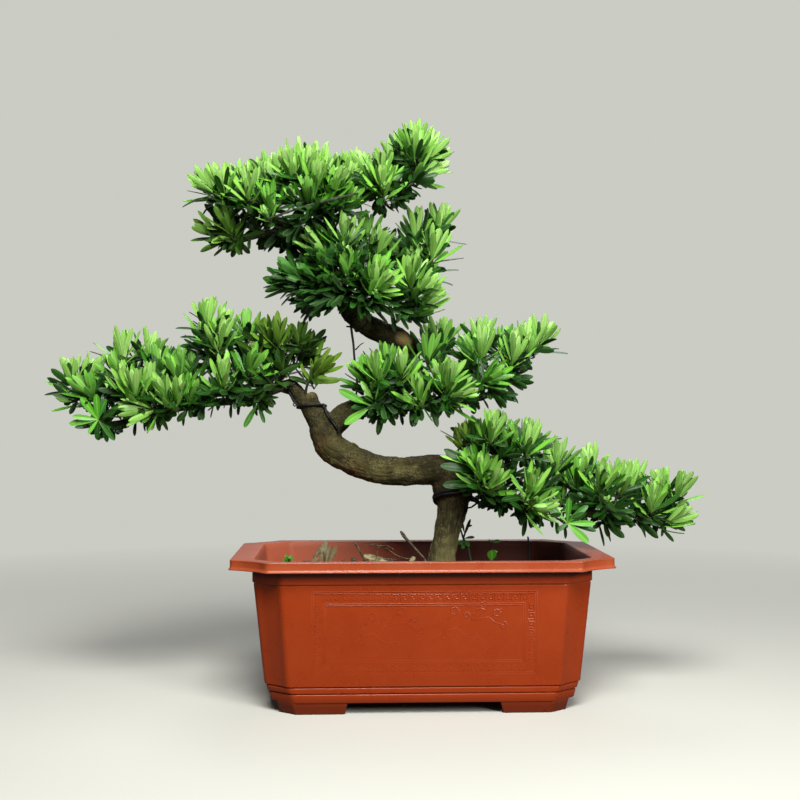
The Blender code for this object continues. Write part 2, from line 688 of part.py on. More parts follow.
def build_wires(trunk, room):
    bark = surface_of(trunk)
    for name, (radius, rings, strands) in WIRES.items():
        solids = []
        for centre, way, reach, count in rings:
            solid, route = ring_of_wire(bark, centre, way, reach, count, radius)
            solids.append(solid)
            room.fill(name, route, radius)
        for points, thick in strands:
            route = laid_on(bark, [Vector(point) for point in points], thick)
            radii = [thick] * len(route)
            solids.append(tube(route, radii, WIRE_SIDES))
            room.fill(name, [place for place, _ in along(route, radii)], thick)
        shade_round(fused(name, solids, BLACK_WIRE))


# The leaves. A shoot is (x, y, z, lean in degrees from upright towards +X, kind), where its leaves begin.
# A bud has three inner faces (0 to 2), three outer ones (3 to 5) and its tip (6). A kind is which of them
# bear a leaf, how far the inner and the outer leaves open in degrees, and their length and width.
NEW = ((0, 1, 2, 3, 4, 6), 17, 38, LEAF_LENGTH, LEAF_WIDTH)
MID = ((0, 1, 2, 3), 20, 42, LEAF_LENGTH, LEAF_WIDTH)
OLD = ((0, 1, 2), 22, 38, 0.0370, LEAF_WIDTH)
SMALL = ((0, 1, 2, 6), 20, 36, 0.0180, 0.0060)
STAR = ((0, 1, 2, 3, 4, 5), 58, 84, 0.0300, LEAF_WIDTH)

SHOOTS = {
    "crown_left_branch": (
        (-0.220, -0.005, 0.535, -45, NEW), (-0.205, -0.025, 0.530, -15, NEW),
        (-0.200, 0.025, 0.545, -12, NEW), (-0.180, -0.035, 0.525, -5, NEW), (-0.180, 0.005, 0.545, -8, NEW),
        (-0.180, 0.040, 0.560, -5, NEW), (-0.190, -0.005, 0.525, -90, OLD),
        (-0.160, -0.045, 0.505, -30, SMALL), (-0.165, 0.030, 0.565, -8, NEW),
        (-0.160, -0.015, 0.540, -5, NEW),
    ),
    "crown_low_branch": (
        (-0.195, -0.020, 0.480, -30, MID), (-0.210, 0.000, 0.485, -62, MID),
        (-0.205, 0.020, 0.500, -25, MID), (-0.195, 0.000, 0.475, -155, OLD),
        (-0.195, 0.030, 0.490, -60, OLD), (-0.160, 0.002, 0.482, -130, OLD),
        (-0.163, 0.022, 0.478, -150, OLD),
    ),
    "crown_right_branch": (
        (-0.145, -0.010, 0.550, -20, NEW), (-0.135, -0.030, 0.550, -10, NEW),
        (-0.130, 0.020, 0.570, 0, NEW), (-0.120, -0.035, 0.550, 10, NEW), (-0.115, 0.040, 0.575, 6, NEW),
        (-0.110, -0.040, 0.535, 12, NEW), (-0.105, 0.010, 0.555, 12, NEW),
        (-0.115, -0.030, 0.500, 175, OLD), (-0.130, -0.025, 0.497, -130, OLD),
        (-0.095, 0.025, 0.560, 12, NEW), (-0.095, -0.035, 0.532, 30, NEW), (-0.085, -0.015, 0.545, 35, NEW),
        (-0.075, 0.010, 0.560, 25, NEW), (-0.078, 0.015, 0.542, 60, MID), (-0.085, -0.035, 0.515, 120, OLD),
        (-0.040, -0.040, 0.530, -5, NEW), (-0.040, -0.030, 0.545, -5, NEW),
        (-0.055, 0.005, 0.560, -28, NEW), (-0.030, 0.020, 0.570, 5, NEW), (-0.020, 0.040, 0.585, 0, NEW),
        (-0.005, -0.010, 0.575, -5, NEW), (0.000, 0.015, 0.587, 12, NEW), (0.013, 0.025, 0.583, 25, NEW),
        (0.010, 0.000, 0.572, 45, NEW), (0.005, -0.010, 0.555, 65, NEW), (-0.020, -0.025, 0.530, 95, OLD),
        (-0.040, -0.005, 0.520, 175, OLD),
    ),
    "middle_left_branch": (
        (-0.123, -0.020, 0.442, -45, MID), (-0.130, 0.015, 0.440, -80, MID),
        (-0.112, -0.010, 0.420, -118, OLD), (-0.107, -0.035, 0.435, -50, MID),
        (-0.100, -0.030, 0.468, -45, NEW), (-0.112, 0.030, 0.480, -10, MID),
    ),
    "middle_front_branch": (
        (-0.080, -0.040, 0.475, 3, NEW), (-0.085, -0.040, 0.455, -80, OLD), (-0.057, 0.005, 0.485, 8, MID),
        (-0.045, -0.010, 0.467, 12, NEW), (-0.037, 0.030, 0.483, 25, MID), (-0.048, -0.050, 0.427, -5, NEW),
        (-0.050, -0.050, 0.425, 60, NEW), (-0.072, -0.035, 0.425, -105, OLD),
        (-0.062, -0.042, 0.415, 170, OLD), (-0.063, 0.025, 0.460, 5, MID),
    ),
    "middle_right_branch": (
        (-0.012, -0.035, 0.435, 0, NEW), (-0.008, -0.010, 0.447, 12, NEW), (-0.025, 0.010, 0.462, -5, MID),
        (-0.003, 0.005, 0.490, 5, NEW), (0.023, 0.020, 0.500, 12, NEW), (0.012, 0.040, 0.488, 0, MID),
        (0.020, -0.010, 0.466, 15, NEW), (0.016, 0.000, 0.456, 85, OLD), (0.000, -0.030, 0.425, 50, NEW),
        (0.010, -0.020, 0.410, 55, NEW), (-0.025, -0.028, 0.410, 130, OLD), (-0.014, 0.038, 0.460, 10, MID),
    ),
    "left_branch": (
        (-0.373, -0.010, 0.312, -60, NEW), (-0.369, 0.008, 0.330, -10, NEW),
        (-0.344, -0.020, 0.317, -38, MID), (-0.364, 0.030, 0.332, 15, NEW),
        (-0.335, -0.035, 0.288, -65, NEW), (-0.333, -0.030, 0.286, 155, OLD),
        (-0.337, 0.018, 0.310, -20, OLD), (-0.326, 0.010, 0.355, 8, NEW), (-0.324, -0.012, 0.335, -28, MID),
        (-0.304, -0.032, 0.319, -12, NEW), (-0.295, -0.040, 0.315, -5, NEW), (-0.292, 0.022, 0.360, 5, NEW),
        (-0.288, -0.022, 0.319, 5, NEW), (-0.281, -0.035, 0.304, -85, NEW), (-0.314, 0.032, 0.330, 0, MID),
        (-0.278, 0.008, 0.343, 0, MID), (-0.262, -0.042, 0.311, -18, NEW), (-0.255, -0.035, 0.309, 12, NEW),
        (-0.268, -0.020, 0.296, 175, MID), (-0.239, 0.005, 0.339, -20, MID), (-0.229, 0.010, 0.386, 0, NEW),
        (-0.234, -0.005, 0.373, -42, OLD), (-0.212, -0.012, 0.369, 8, NEW), (-0.224, 0.028, 0.356, -5, MID),
        (-0.205, -0.040, 0.328, 0, NEW), (-0.231, -0.022, 0.305, -150, OLD), (-0.262, 0.038, 0.345, 0, MID),
        (-0.186, 0.015, 0.382, -5, MID), (-0.189, -0.032, 0.318, -140, OLD),
        (-0.178, -0.038, 0.340, 30, MID), (-0.158, -0.005, 0.375, -20, NEW),
        (-0.150, -0.022, 0.375, 0, NEW), (-0.130, 0.022, 0.369, 0, MID), (-0.121, -0.008, 0.365, 22, MID),
        (-0.145, -0.030, 0.345, -30, OLD), (-0.167, -0.015, 0.314, 140, OLD),
        (-0.174, -0.010, 0.310, -100, MID), (-0.170, 0.035, 0.355, -10, MID),
    ),
    "knot_sprout": (
        (-0.119, -0.012, 0.334, -20, MID), (-0.112, -0.010, 0.341, 60, MID),
    ),
    "right_branch": (
        (-0.046, -0.048, 0.335, -15, NEW), (-0.020, -0.042, 0.337, 0, NEW), (-0.035, -0.020, 0.344, 0, MID),
        (-0.050, -0.050, 0.305, -95, NEW), (-0.049, -0.052, 0.304, -130, NEW),
        (-0.040, -0.038, 0.308, 178, OLD), (-0.002, -0.048, 0.311, -8, NEW),
        (-0.010, -0.040, 0.306, 170, OLD), (0.010, 0.000, 0.355, 12, MID), (0.026, 0.018, 0.373, 8, NEW),
        (0.022, -0.028, 0.325, -5, NEW), (0.026, -0.042, 0.326, 15, NEW), (0.030, -0.045, 0.316, 70, NEW),
        (0.069, 0.020, 0.374, 8, NEW), (0.066, -0.018, 0.360, 5, NEW), (0.099, -0.015, 0.354, 12, NEW),
        (0.095, 0.032, 0.370, 8, MID), (0.117, 0.002, 0.366, -3, NEW), (0.134, 0.015, 0.375, 15, NEW),
        (0.110, -0.010, 0.340, 80, OLD), (0.076, -0.008, 0.323, 135, OLD), (0.066, -0.038, 0.334, 60, MID),
        (0.052, 0.025, 0.336, 10, MID),
    ),
    "low_branch": (
        (0.062, 0.022, 0.262, -18, SMALL), (0.066, 0.000, 0.264, -15, MID), (0.076, 0.010, 0.261, 8, NEW),
        (0.062, -0.045, 0.230, -5, NEW), (0.068, -0.048, 0.221, 35, NEW), (0.070, -0.028, 0.208, -155, OLD),
        (0.086, -0.015, 0.206, 168, OLD), (0.098, 0.032, 0.262, 0, MID), (0.086, -0.020, 0.253, -15, OLD),
        (0.113, -0.012, 0.251, 8, NEW), (0.123, 0.015, 0.258, 8, NEW), (0.113, -0.045, 0.215, 10, NEW),
        (0.114, -0.048, 0.200, 75, NEW), (0.112, -0.030, 0.199, 155, OLD), (0.150, 0.010, 0.253, 5, NEW),
        (0.142, 0.035, 0.245, 20, MID), (0.132, -0.015, 0.226, 5, OLD), (0.155, -0.052, 0.186, 0, STAR),
        (0.155, 0.000, 0.205, -5, MID), (0.188, 0.010, 0.234, 3, NEW), (0.190, -0.030, 0.219, 0, NEW),
        (0.213, -0.012, 0.217, 0, NEW), (0.233, 0.020, 0.218, 12, NEW), (0.190, -0.035, 0.205, -50, OLD),
        (0.204, -0.025, 0.195, 95, OLD), (0.198, -0.010, 0.184, 120, OLD), (0.247, -0.025, 0.197, 3, NEW),
        (0.266, 0.012, 0.209, -8, NEW), (0.277, -0.005, 0.208, 20, NEW), (0.265, -0.015, 0.182, 55, NEW),
        (0.236, -0.015, 0.186, 112, OLD), (0.259, 0.010, 0.186, 105, OLD), (0.243, 0.032, 0.198, 10, MID),
    ),
}


class Room:
    """Keeps what grows on one branch out of the way of everything else."""

    def __init__(self):
        self.taken = {}

    def fill(self, owner, points, radius):
        self.taken.setdefault(owner, []).extend((Vector(point), radius) for point in points)

    def free(self, owner, points, radius):
        for other, balls in self.taken.items():
            if other == owner:
                continue
            for place, reach in balls:
                if any((point - place).length < radius + reach + GAP for point in points):
                    return False
        return True

    def apart(self, owner, points):
        """Whether points keep off the middles of the leaves that the same branch already has."""
        leaves = [place for place, reach in self.taken[owner] if reach == LEAF_REACH]
        return not any((point - place).length < LEAF_SPACING for point in points for place in leaves)


def along(route, radii, spacing=0.004):
    """Points and radii at even steps along a route."""
    samples = []
    for at in range(len(route) - 1):
        steps = max(1, round((route[at + 1] - route[at]).length / spacing))
        for step in range(steps + 1):
            share = step / steps
            samples.append((route[at].lerp(route[at + 1], share), between(radii[at], radii[at + 1], share)))
    return samples


def shoot_axis(y, lean, kind):
    """A shoot leans in the plane of the picture, and towards the nearer side of its branch."""
    if kind is STAR:
        return Vector(TOWARDS_VIEWER).normalized()
    turn = math.radians(lean)
    return Vector((math.sin(turn), SIDEWAYS_LEAN * y, math.cos(turn))).normalized()


def twig_to(start, base):
    """The thin stem from the wood to a shoot, rising in a slight bow."""
    reach = (base - start).length
    if reach < BENT_TWIG:
        return [start, base], [TWIG_ROOT, TWIG_TIP]
    bow = Vector((0, 0, -SAGGING_BOW * reach if base.z > start.z else RISING_BOW * reach))
    radii = [TWIG_ROOT, between(TWIG_ROOT, TWIG_TIP, 0.5), TWIG_TIP]
    return [start, start.lerp(base, 0.5) + bow, base], radii


def raise_leaf(points, faces, face, root, way, across, size):
    """Raises a leaf from a triangle of the bud, which it takes the place of: flat above, a ridge below."""
    length, width = size
    droop = Vector((0, 0, -LEAF_DROOP))
    widest = root + way * length * LEAF_WIDEST + droop * LEAF_WIDEST ** 2
    left, right, tip = range(len(points), len(points) + 3)
    points += [widest - across * width / 2, widest + across * width / 2, root + way * length + droop]
    first, second, third = face
    faces += [(left, tip, right), (first, left, right), (first, right, second)]
    faces += [(first, third, left), (third, tip, left), (second, right, third), (third, right, tip)]


def twig_solid(route, radii, axis, turn):
    """The points of a three-sided twig up to the bud's turned tip, and the faces short of the bud."""
    directions = tangents(route)
    directions[-1] = axis
    points, faces = [], [(0, 1, 2)]
    for at, (side, across) in enumerate(cross_sections(directions)):
        first = turn + (math.pi / 3 if at == len(route) - 1 else 0)
        for angle in (first + 2 * math.pi * number / 3 for number in range(3)):
            points.append(route[at] + radii[at] * (math.cos(angle) * side + math.sin(angle) * across))
    for low in range(0, len(points) - 6, 3):
        for number in range(3):
            after = (number + 1) % 3
            faces.append((low + number, low + after, low + 3 + after, low + 3 + number))
    return points, faces


def bud_faces(low):
    """The bud's three inner faces, its three outer ones and its tip, from the number of its first point."""
    high = low + 3
    inner = [(high + number, high + (number + 1) % 3, low + (number + 1) % 3) for number in range(3)]
    outer = [(low + number, low + (number + 1) % 3, high + number) for number in range(3)]
    return inner + outer + [(high, high + 1, high + 2)]


def leaf_frame(points, face, heart, axis):
    """A leaf's root on a face of the bud, the way across it, and the way out from the shoot's axis."""
    root = sum((points[corner] for corner in face), Vector()) / 3
    across = (points[face[1]] - points[face[0]]).normalized()
    out = root - heart
    out -= axis * out.dot(axis)
    if out.length < BUD_TIP / 4:
        out = points[face[2]] - root
    return root, across, out.normalized()


def leafy_shoot(name, start, shoot, room, draw):
    """A three-sided twig that ends in a bud, with leaves raised from the faces of the bud."""
    x, y, z, lean, (bearing, inner, outer, length, width) = shoot
    base, axis = Vector((x, y, z)), shoot_axis(y, lean, shoot[4])
    if (base - start).length < SHORTEST_TWIG:
        base = start + axis * SHORTEST_TWIG
    route, radii = twig_to(start, base)
    twig = along(route, radii)
    if not room.free(name, [place for place, _ in twig], TWIG_ROOT):
        return None
    run = (route[-1] - route[-2]).normalized()
    if run.angle(axis) > SHARPEST_BEND:
        axis = run.slerp(axis, SHARPEST_BEND / run.angle(axis))
    heart = base + axis * BUD_LENGTH / 2
    route.append(base + axis * BUD_LENGTH)
    radii.append(BUD_TIP)
    points, faces = twig_solid(route, radii, axis, draw.uniform(0, 2 * math.pi))
    openings = [inner] * 3 + [outer] * 3 + [TOP_LEAF_OPENING]
    grown = []
    for number, face in enumerate(bud_faces(len(points) - 6)):
        root, across, out = leaf_frame(points, face, heart, axis)
        if across.cross(axis).dot(out) < 0:
            across, face = -across, (face[1], face[0], face[2])
        opening = math.radians(openings[number] + draw.uniform(-OPENING_PLAY, OPENING_PLAY))
        way = axis * math.cos(opening) + out * math.sin(opening)
        long = length * draw.uniform(*LENGTH_PLAY)
        middle = [root + way * long * share for share in LEAF_SAMPLES]
        above_pot = min(point.z for point in middle) > LOWEST_LEAF
        wanted = number in bearing and above_pot
        if wanted and room.free(name, middle[1:], width / 2) and room.apart(name, middle[2:]):
            raise_leaf(points, faces, face, root, way, across, (long, width))
            grown += middle
        else:
            faces.append(face)
    room.fill(name, [place for place, _ in twig], TWIG_ROOT)
    room.fill(name, grown, LEAF_REACH)
    return (points, faces), [place for place, _ in twig[1:]]


def build_branch(name, room):
    """A limb with its shoots, the nearest first, each on the nearest wood with a free way to it."""
    draw = random.Random(name)
    route, radii, directions = limb_piece(name, 1, None, GAP)
    solids = [tube(route, radii, LIMB_SIDES, directions)]
    wood = [place for place, _ in along(route, radii)[CLEAR_OF_TRUNK:]]

    def reach(shoot):
        return min((place - Vector(shoot[:3])).length for place in wood)

    for shoot in sorted(SHOOTS[name], key=reach):
        starts = sorted(wood, key=lambda place: (place - Vector(shoot[:3])).length)[:TRIED_STARTS:TRIED_STEP]
        tries = (leafy_shoot(name, start, shoot, room, draw) for start in starts)
        solid, twig = next(filter(None, tries), (None, []))
        if solid:
            solids.append(solid)
            wood += twig
    fused(name, solids, FOLIAGE, solver="MANIFOLD")


def build_branches(room):
    for points in (UPRIGHT_TRUNK, LEVEL_TRUNK, SECOND_TRUNK, STUB):
        for place, radius in along(*split(points)):
            room.fill("trunk", [place], radius)
    for name in SHOOTS:
        for place, radius in along(*limb_piece(name, 0, 2)[:2]):
            room.fill("trunk", [place], radius)
        for place, radius in along(*limb_piece(name, 1, None)[:2])[2:]:
            room.fill(name, [place], radius)
    for name in SHOOTS:
        build_branch(name, room)


build_pot()
growing_room = Room()
build_wires(build_trunk(), growing_room)
build_small_things(build_soil())
build_branches(growing_room)
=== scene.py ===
"""A buddhist pine bonsai, a small-leaved podocarp, in its rectangular moulded plastic pot.

Metres, +Z up, seen from the front along +Y. The sections follow the plant as it is put together: the
pot, the soil, the trunk, the training wires, the leafy branches, and what lies and grows on the soil.
"""
import math
import random

import bpy
import numpy as np
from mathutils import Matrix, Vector, noise
from mathutils.bvhtree import BVHTree


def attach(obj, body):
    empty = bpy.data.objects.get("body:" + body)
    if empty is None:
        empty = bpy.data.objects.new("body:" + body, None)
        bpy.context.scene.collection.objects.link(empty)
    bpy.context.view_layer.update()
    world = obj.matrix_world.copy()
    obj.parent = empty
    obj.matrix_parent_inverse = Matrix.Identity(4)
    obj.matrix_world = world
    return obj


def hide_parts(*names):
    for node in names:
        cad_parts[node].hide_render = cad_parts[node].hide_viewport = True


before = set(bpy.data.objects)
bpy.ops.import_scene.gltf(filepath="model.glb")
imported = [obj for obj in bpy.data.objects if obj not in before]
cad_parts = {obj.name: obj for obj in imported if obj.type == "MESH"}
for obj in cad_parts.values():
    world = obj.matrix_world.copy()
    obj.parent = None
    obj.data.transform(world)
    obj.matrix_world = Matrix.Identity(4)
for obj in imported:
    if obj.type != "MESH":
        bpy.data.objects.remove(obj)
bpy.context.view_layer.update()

# The studio: a wide pale floor under a large soft box overhead, with a second soft box from the front
# right, a weak one from the left and a weak wide one behind. The camera stands level with the lower
# branches.
CAMERA_PLACE = (-0.0737, -1.2895, 0.2934)
CAMERA_TURN = (90.9155, 0.0, -2.368)
CAMERA_LENS = 54.0
FLOOR_REACH, FLOOR_FADE = 30.0, (0.35, 1.60)
FLOOR_GREY, FLOOR_BOUNCE = (0.60, 0.605, 0.56, 1.0), (0.16, 0.15, 0.13, 1.0)
BACKDROP = (0.597, 0.604, 0.552, 1.0)
SOFT_FILL, FILL_STRENGTH, SHEEN_STRENGTH = (0.98, 0.98, 0.96, 1.0), 0.060, 0.30
LIGHTS = {
    "overhead_box": ((-0.05, -1.10, 1.40), (-0.05, 0.0, 0.30), 0.70, 37.5, (1.0, 0.99, 0.95)),
    "front_right_box": ((1.10, -1.55, 0.85), (0.0, 0.0, 0.20), 0.60, 25.5, (1.0, 0.99, 0.97)),
    "left_box": ((-1.60, -1.20, 0.90), (-0.05, 0.0, 0.30), 0.80, 0.3, (0.96, 0.98, 1.0)),
    "rear_box": ((0.20, 1.80, 1.90), (0.0, 0.0, 0.25), 1.10, 17.0, (0.98, 0.99, 1.0)),
}


def aimed(place, target):
    """The rotation of a lamp at a place that looks at a target."""
    return (Vector(target) - Vector(place)).to_track_quat("-Z", "Y").to_euler()


camera = bpy.data.objects.new("camera", bpy.data.cameras.new("camera"))
camera.location = CAMERA_PLACE
camera.rotation_euler = [math.radians(turn) for turn in CAMERA_TURN]
camera.data.lens = CAMERA_LENS
bpy.context.scene.collection.objects.link(camera)
bpy.context.scene.camera = camera
bpy.context.scene.view_settings.view_transform = "Standard"

for name, (place, target, size, power, tint) in LIGHTS.items():
    lamp = bpy.data.objects.new(name, bpy.data.lights.new(name, "AREA"))
    lamp.location = place
    lamp.rotation_euler = aimed(place, target)
    lamp.data.size = size
    lamp.data.energy = power
    lamp.data.color = tint
    bpy.context.scene.collection.objects.link(lamp)


def add_node(tree, kind, inputs=None, **settings):
    """A shader node with its settings, and its inputs either linked or given a value."""
    made = tree.nodes.new(kind)
    for setting, value in settings.items():
        setattr(made, setting, value)
    for socket, value in (inputs or {}).items():
        if isinstance(value, bpy.types.NodeSocket):
            tree.links.new(value, made.inputs[socket])
        else:
            made.inputs[socket].default_value = value
    return made


def new_material(name):
    """A material with its node tree and its Principled shader."""
    material = bpy.data.materials.new(name)
    material.use_nodes = True
    return material, material.node_tree, material.node_tree.nodes["Principled BSDF"]


def paint(red, green, blue):
    """A colour given in everyday 0 to 255 steps, as the linear values that a shader takes."""
    linear = []
    for share in (red / 255, green / 255, blue / 255):
        linear.append(((share + 0.055) / 1.055) ** 2.4 if share > 0.04 else share / 12.92)
    return (*linear, 1.0)


def new_piece(name, points, faces, materials, sharp=None):
    """A mesh object, smooth shaded, with edges sharper than the given angle left crisp."""
    mesh = bpy.data.meshes.new(name)
    mesh.from_pydata(points, [], faces)
    for material in materials:
        mesh.materials.append(material)
    mesh.shade_smooth()
    if sharp:
        mesh.set_sharp_from_angle(angle=math.radians(sharp))
    piece = bpy.data.objects.new(name, mesh)
    bpy.context.scene.collection.objects.link(piece)
    return piece


def mixed(tree, share, first, second):
    """A mix of two colours, each a socket or a colour."""
    inputs = {0: share, 6: first, 7: second}
    return add_node(tree, "ShaderNodeMix", inputs, data_type="RGBA").outputs[2]


def between(tree, value, low, high, to_low=0.0, to_high=1.0):
    """A value moved from one range to another and held inside it."""
    limits = {"Value": value, "From Min": low, "From Max": high, "To Min": to_low, "To Max": to_high}
    return add_node(tree, "ShaderNodeMapRange", limits).outputs["Result"]


def multiplied(tree, first, second):
    """The product of two values, each a socket or a number."""
    made = add_node(tree, "ShaderNodeMath", {0: first, 1: second}, operation="MULTIPLY")
    return made.outputs["Value"]


studio = bpy.data.worlds.new("studio")
studio.use_nodes = True
bpy.context.scene.world = studio
ray = add_node(studio.node_tree, "ShaderNodeLightPath").outputs
seen = ray["Is Camera Ray"]
backdrop = studio.node_tree.nodes["Background"]
studio.node_tree.links.new(mixed(studio.node_tree, seen, SOFT_FILL, BACKDROP), backdrop.inputs["Color"])
sheen = between(studio.node_tree, ray["Is Glossy Ray"], 0, 1, FILL_STRENGTH, SHEEN_STRENGTH)
strength = add_node(studio.node_tree, "ShaderNodeMath", {0: seen, 1: sheen}, operation="MAXIMUM")
studio.node_tree.links.new(strength.outputs["Value"], backdrop.inputs["Strength"])

floor_paint, tree, shader = new_material("studio_floor")
place = add_node(tree, "ShaderNodeTexCoord").outputs["Object"]
far = add_node(tree, "ShaderNodeVectorMath", {0: place}, operation="LENGTH").outputs["Value"]
fading = between(tree, far, *FLOOR_FADE)
seen = add_node(tree, "ShaderNodeLightPath").outputs["Is Camera Ray"]
grey = mixed(tree, seen, FLOOR_BOUNCE, FLOOR_GREY)
tree.links.new(mixed(tree, fading, grey, (0.0, 0.0, 0.0, 1.0)), shader.inputs["Base Color"])
shader.inputs["Emission Color"].default_value = BACKDROP
tree.links.new(multiplied(tree, fading, seen), shader.inputs["Emission Strength"])
shader.inputs["Roughness"].default_value = 1.0
shader.inputs["Specular IOR Level"].default_value = 0.0
floor_corners = [(x * FLOOR_REACH, y * FLOOR_REACH, 0.0) for x, y in ((-1, -1), (1, -1), (1, 1), (-1, 1))]
floor = new_piece("studio_floor", floor_corners, [(0, 1, 2, 3)], [floor_paint])

# The pot: one injection-moulded tray of terracotta-coloured plastic, with a wide flat rim, a collar,
# tapered walls with slightly hollow chamfered corners, two bands at the base and four corner feet. A
# keyed border and two small sprigs stand out faintly on each long wall.
POT_PROFILE = (
    # height, half length, half depth, corner off the length, corner off the depth, scoop, rounding
    (0.0160, 0.1510, 0.0895, 0.0240, 0.0195, 0.0, 0.0),
    (0.0260, 0.1522, 0.0902, 0.0240, 0.0195, 0.0, 0.004),
    (0.0320, 0.1575, 0.0935, 0.0260, 0.0210, 0.0, 0.003),
    (0.1480, 0.1697, 0.0967, 0.0279, 0.0224, 0.0, 0.002),
    (0.1525, 0.1712, 0.0980, 0.0284, 0.0229, 0.0, 0.0015),
    (0.1528, 0.1800, 0.1040, 0.0320, 0.0250, 0.0008, 0.0020),
    (0.1527, 0.1946, 0.1116, 0.0385, 0.0295, 0.0034, 0.0016),
    (0.1505, 0.1943, 0.1113, 0.0385, 0.0295, 0.0034, 0.0006),
    (0.1450, 0.1944, 0.1114, 0.0385, 0.0295, 0.0034, 0.0014),
    (0.1436, 0.1957, 0.1127, 0.0385, 0.0295, 0.0034, 0.0005),
    (0.1425, 0.1957, 0.1127, 0.0385, 0.0295, 0.0034, 0.0005),
    (0.1425, 0.1930, 0.1103, 0.0380, 0.0290, 0.0034, 0.0006),
    (0.1432, 0.1722, 0.1018, 0.0300, 0.0240, 0.0003, 0.0010),
    (0.1300, 0.1722, 0.1018, 0.0300, 0.0240, 0.0003, 0.0008),
    (0.1292, 0.1706, 0.1001, 0.0290, 0.0232, 0.0005, 0.0004),
    (0.1276, 0.1708, 0.1003, 0.0284, 0.0222, 0.0012, 0.0003),
    (0.0283, 0.1600, 0.0965, 0.0240, 0.0200, 0.0012, 0.0006),
    (0.0275, 0.1570, 0.0942, 0.0240, 0.0195, 0.0, 0.0005),
    (0.0266, 0.1582, 0.0957, 0.0240, 0.0195, 0.0, 0.0006),
    (0.0215, 0.1566, 0.0952, 0.0240, 0.0195, 0.0, 0.0006),
    (0.0208, 0.1545, 0.0932, 0.0240, 0.0195, 0.0, 0.0003),
    (0.0199, 0.1555, 0.0947, 0.0240, 0.0195, 0.0, 0.0006),
    (0.0115, 0.1536, 0.0938, 0.0240, 0.0195, 0.0, 0.0010),
    (0.0115, 0.1500, 0.0905, 0.0235, 0.0190, 0.0, 0.0),
)
CORNER_ROUNDING, CORNER_POINTS = (0.0036, 0.0050), (5, 4)
FOOT_HEIGHTS = ((0.0, 0.0007), (0.0007, 0.0), (0.0100, 0.0), (0.0128, 0.0))
FOOT_BOTTOM, FOOT_TOP, FOOT_CHAMFER = (0.1440, 0.0915), (0.1478, 0.0930), (0.0165, 0.0130)
FOOT_INSIDE, FOOT_INSIDE_TOP, FOOT_ROUNDING = (0.0790, 0.0480), (0.0757, 0.0448), 0.0015
DRAIN_RADIUS, DRAIN_SIDES = 0.0110, 28
DRAIN_PLACES, DRAIN_HEIGHTS = (0.0450, -0.0450), (0.0050, 0.0166)
WALL_FOOT, WALL_HEAD = (0.0283, 0.0965), (0.1270, 0.1006)
TERRACOTTA, TERRACOTTA_WORN, TERRACOTTA_DEEP = paint(150, 54, 14), paint(174, 90, 58), paint(144, 49, 11)
# painted shadow colour for the inner wall's right and the pot's foot, painted light colour for the inner
# wall's left, and painted shade colour under the rim
TERRACOTTA_SHADOW, TERRACOTTA_LIT = paint(66, 22, 8), paint(186, 112, 84)
TERRACOTTA_SHADED = paint(44, 10, 2)
# where a painted mark starts and ends, and how much of it there is at the two: painted shadow on the
# inner wall towards the right, painted light on it towards the left, painted shade low on the pot and under
# the rim
INNER_WALL_SHADOW_RUN, INNER_WALL_LIGHT_RUN = (-0.024, -0.008, 0.10, 0.85), (-0.040, -0.010, 0.36, 0.0)
GROUND_SHADE, UNDER_RIM_SHADE = (0.0070, 0.0190, 0.68, 0.0), (0.1340, 0.1385, 0.0, 0.85)
RIM_START, INNER_WALL_ABOVE, INNER_WALL_DEPTH = (0.1415, 0.1424), 0.050, 0.0985
PANEL_HALF, PANEL_LOW, PANEL_HIGH = 0.1120, 0.0400, 0.1225
BORDER, FRAME_GAP, KEY_PITCH, KEY_START = 0.0120, 0.0018, 0.0085, 0.0027
RIB_WIDTH, RIB_WORN, RIB_CRISP, RIB_WORN_UNTIL, RIB_FADE = 0.0010, 0.00009, 0.00020, 0.40, 0.12
KEY = ((0.0, 0.14), (0.0, 0.86), (0.72, 0.86), (0.72, 0.32), (0.36, 0.32), (0.36, 0.60))
SPRIG = (
    ((-0.034, -0.015), (-0.024, -0.006), (-0.010, -0.002), (0.004, 0.006), (0.022, 0.009), (0.034, 0.017)),
    ((-0.024, -0.006), (-0.020, 0.006), (-0.012, 0.013)),
    ((-0.010, -0.002), (-0.004, -0.010), (0.008, -0.013)),
    ((0.004, 0.006), (0.008, 0.015), (0.015, 0.019)),
    ((0.022, 0.009), (0.028, 0.003), (0.036, 0.001)),
)
BLOSSOMS = (
    (-0.012, 0.015, 0.0040), (0.010, -0.014, 0.0036), (0.017, 0.020, 0.0042), (-0.022, -0.010, 0.0032),
    (0.037, 0.001, 0.0032), (0.000, 0.011, 0.0030), (0.030, 0.013, 0.0036),
)
SPRIG_PLACES, PETAL_POINTS = ((-0.040, 0.083), (0.042, 0.088)), 20


def eased(before, corner, after, reach, count):
    """Points that round a corner off, starting and ending reach away from it."""
    start = corner + (before - corner) * min(0.5, reach / max(1e-9, (before - corner).length))
    end = corner + (after - corner) * min(0.5, reach / max(1e-9, (after - corner).length))
    shares = [step / (count - 1) for step in range(count)]
    return [(1 - t) ** 2 * start + 2 * t * (1 - t) * corner + t * t * end for t in shares]


def rounded_plan(corners, reach, count):
    """A closed outline with each of its corners rounded."""
    ring = []
    for at, corner in enumerate(corners):
        ring += eased(corners[at - 1], corner, corners[(at + 1) % len(corners)], reach, count)
    return ring


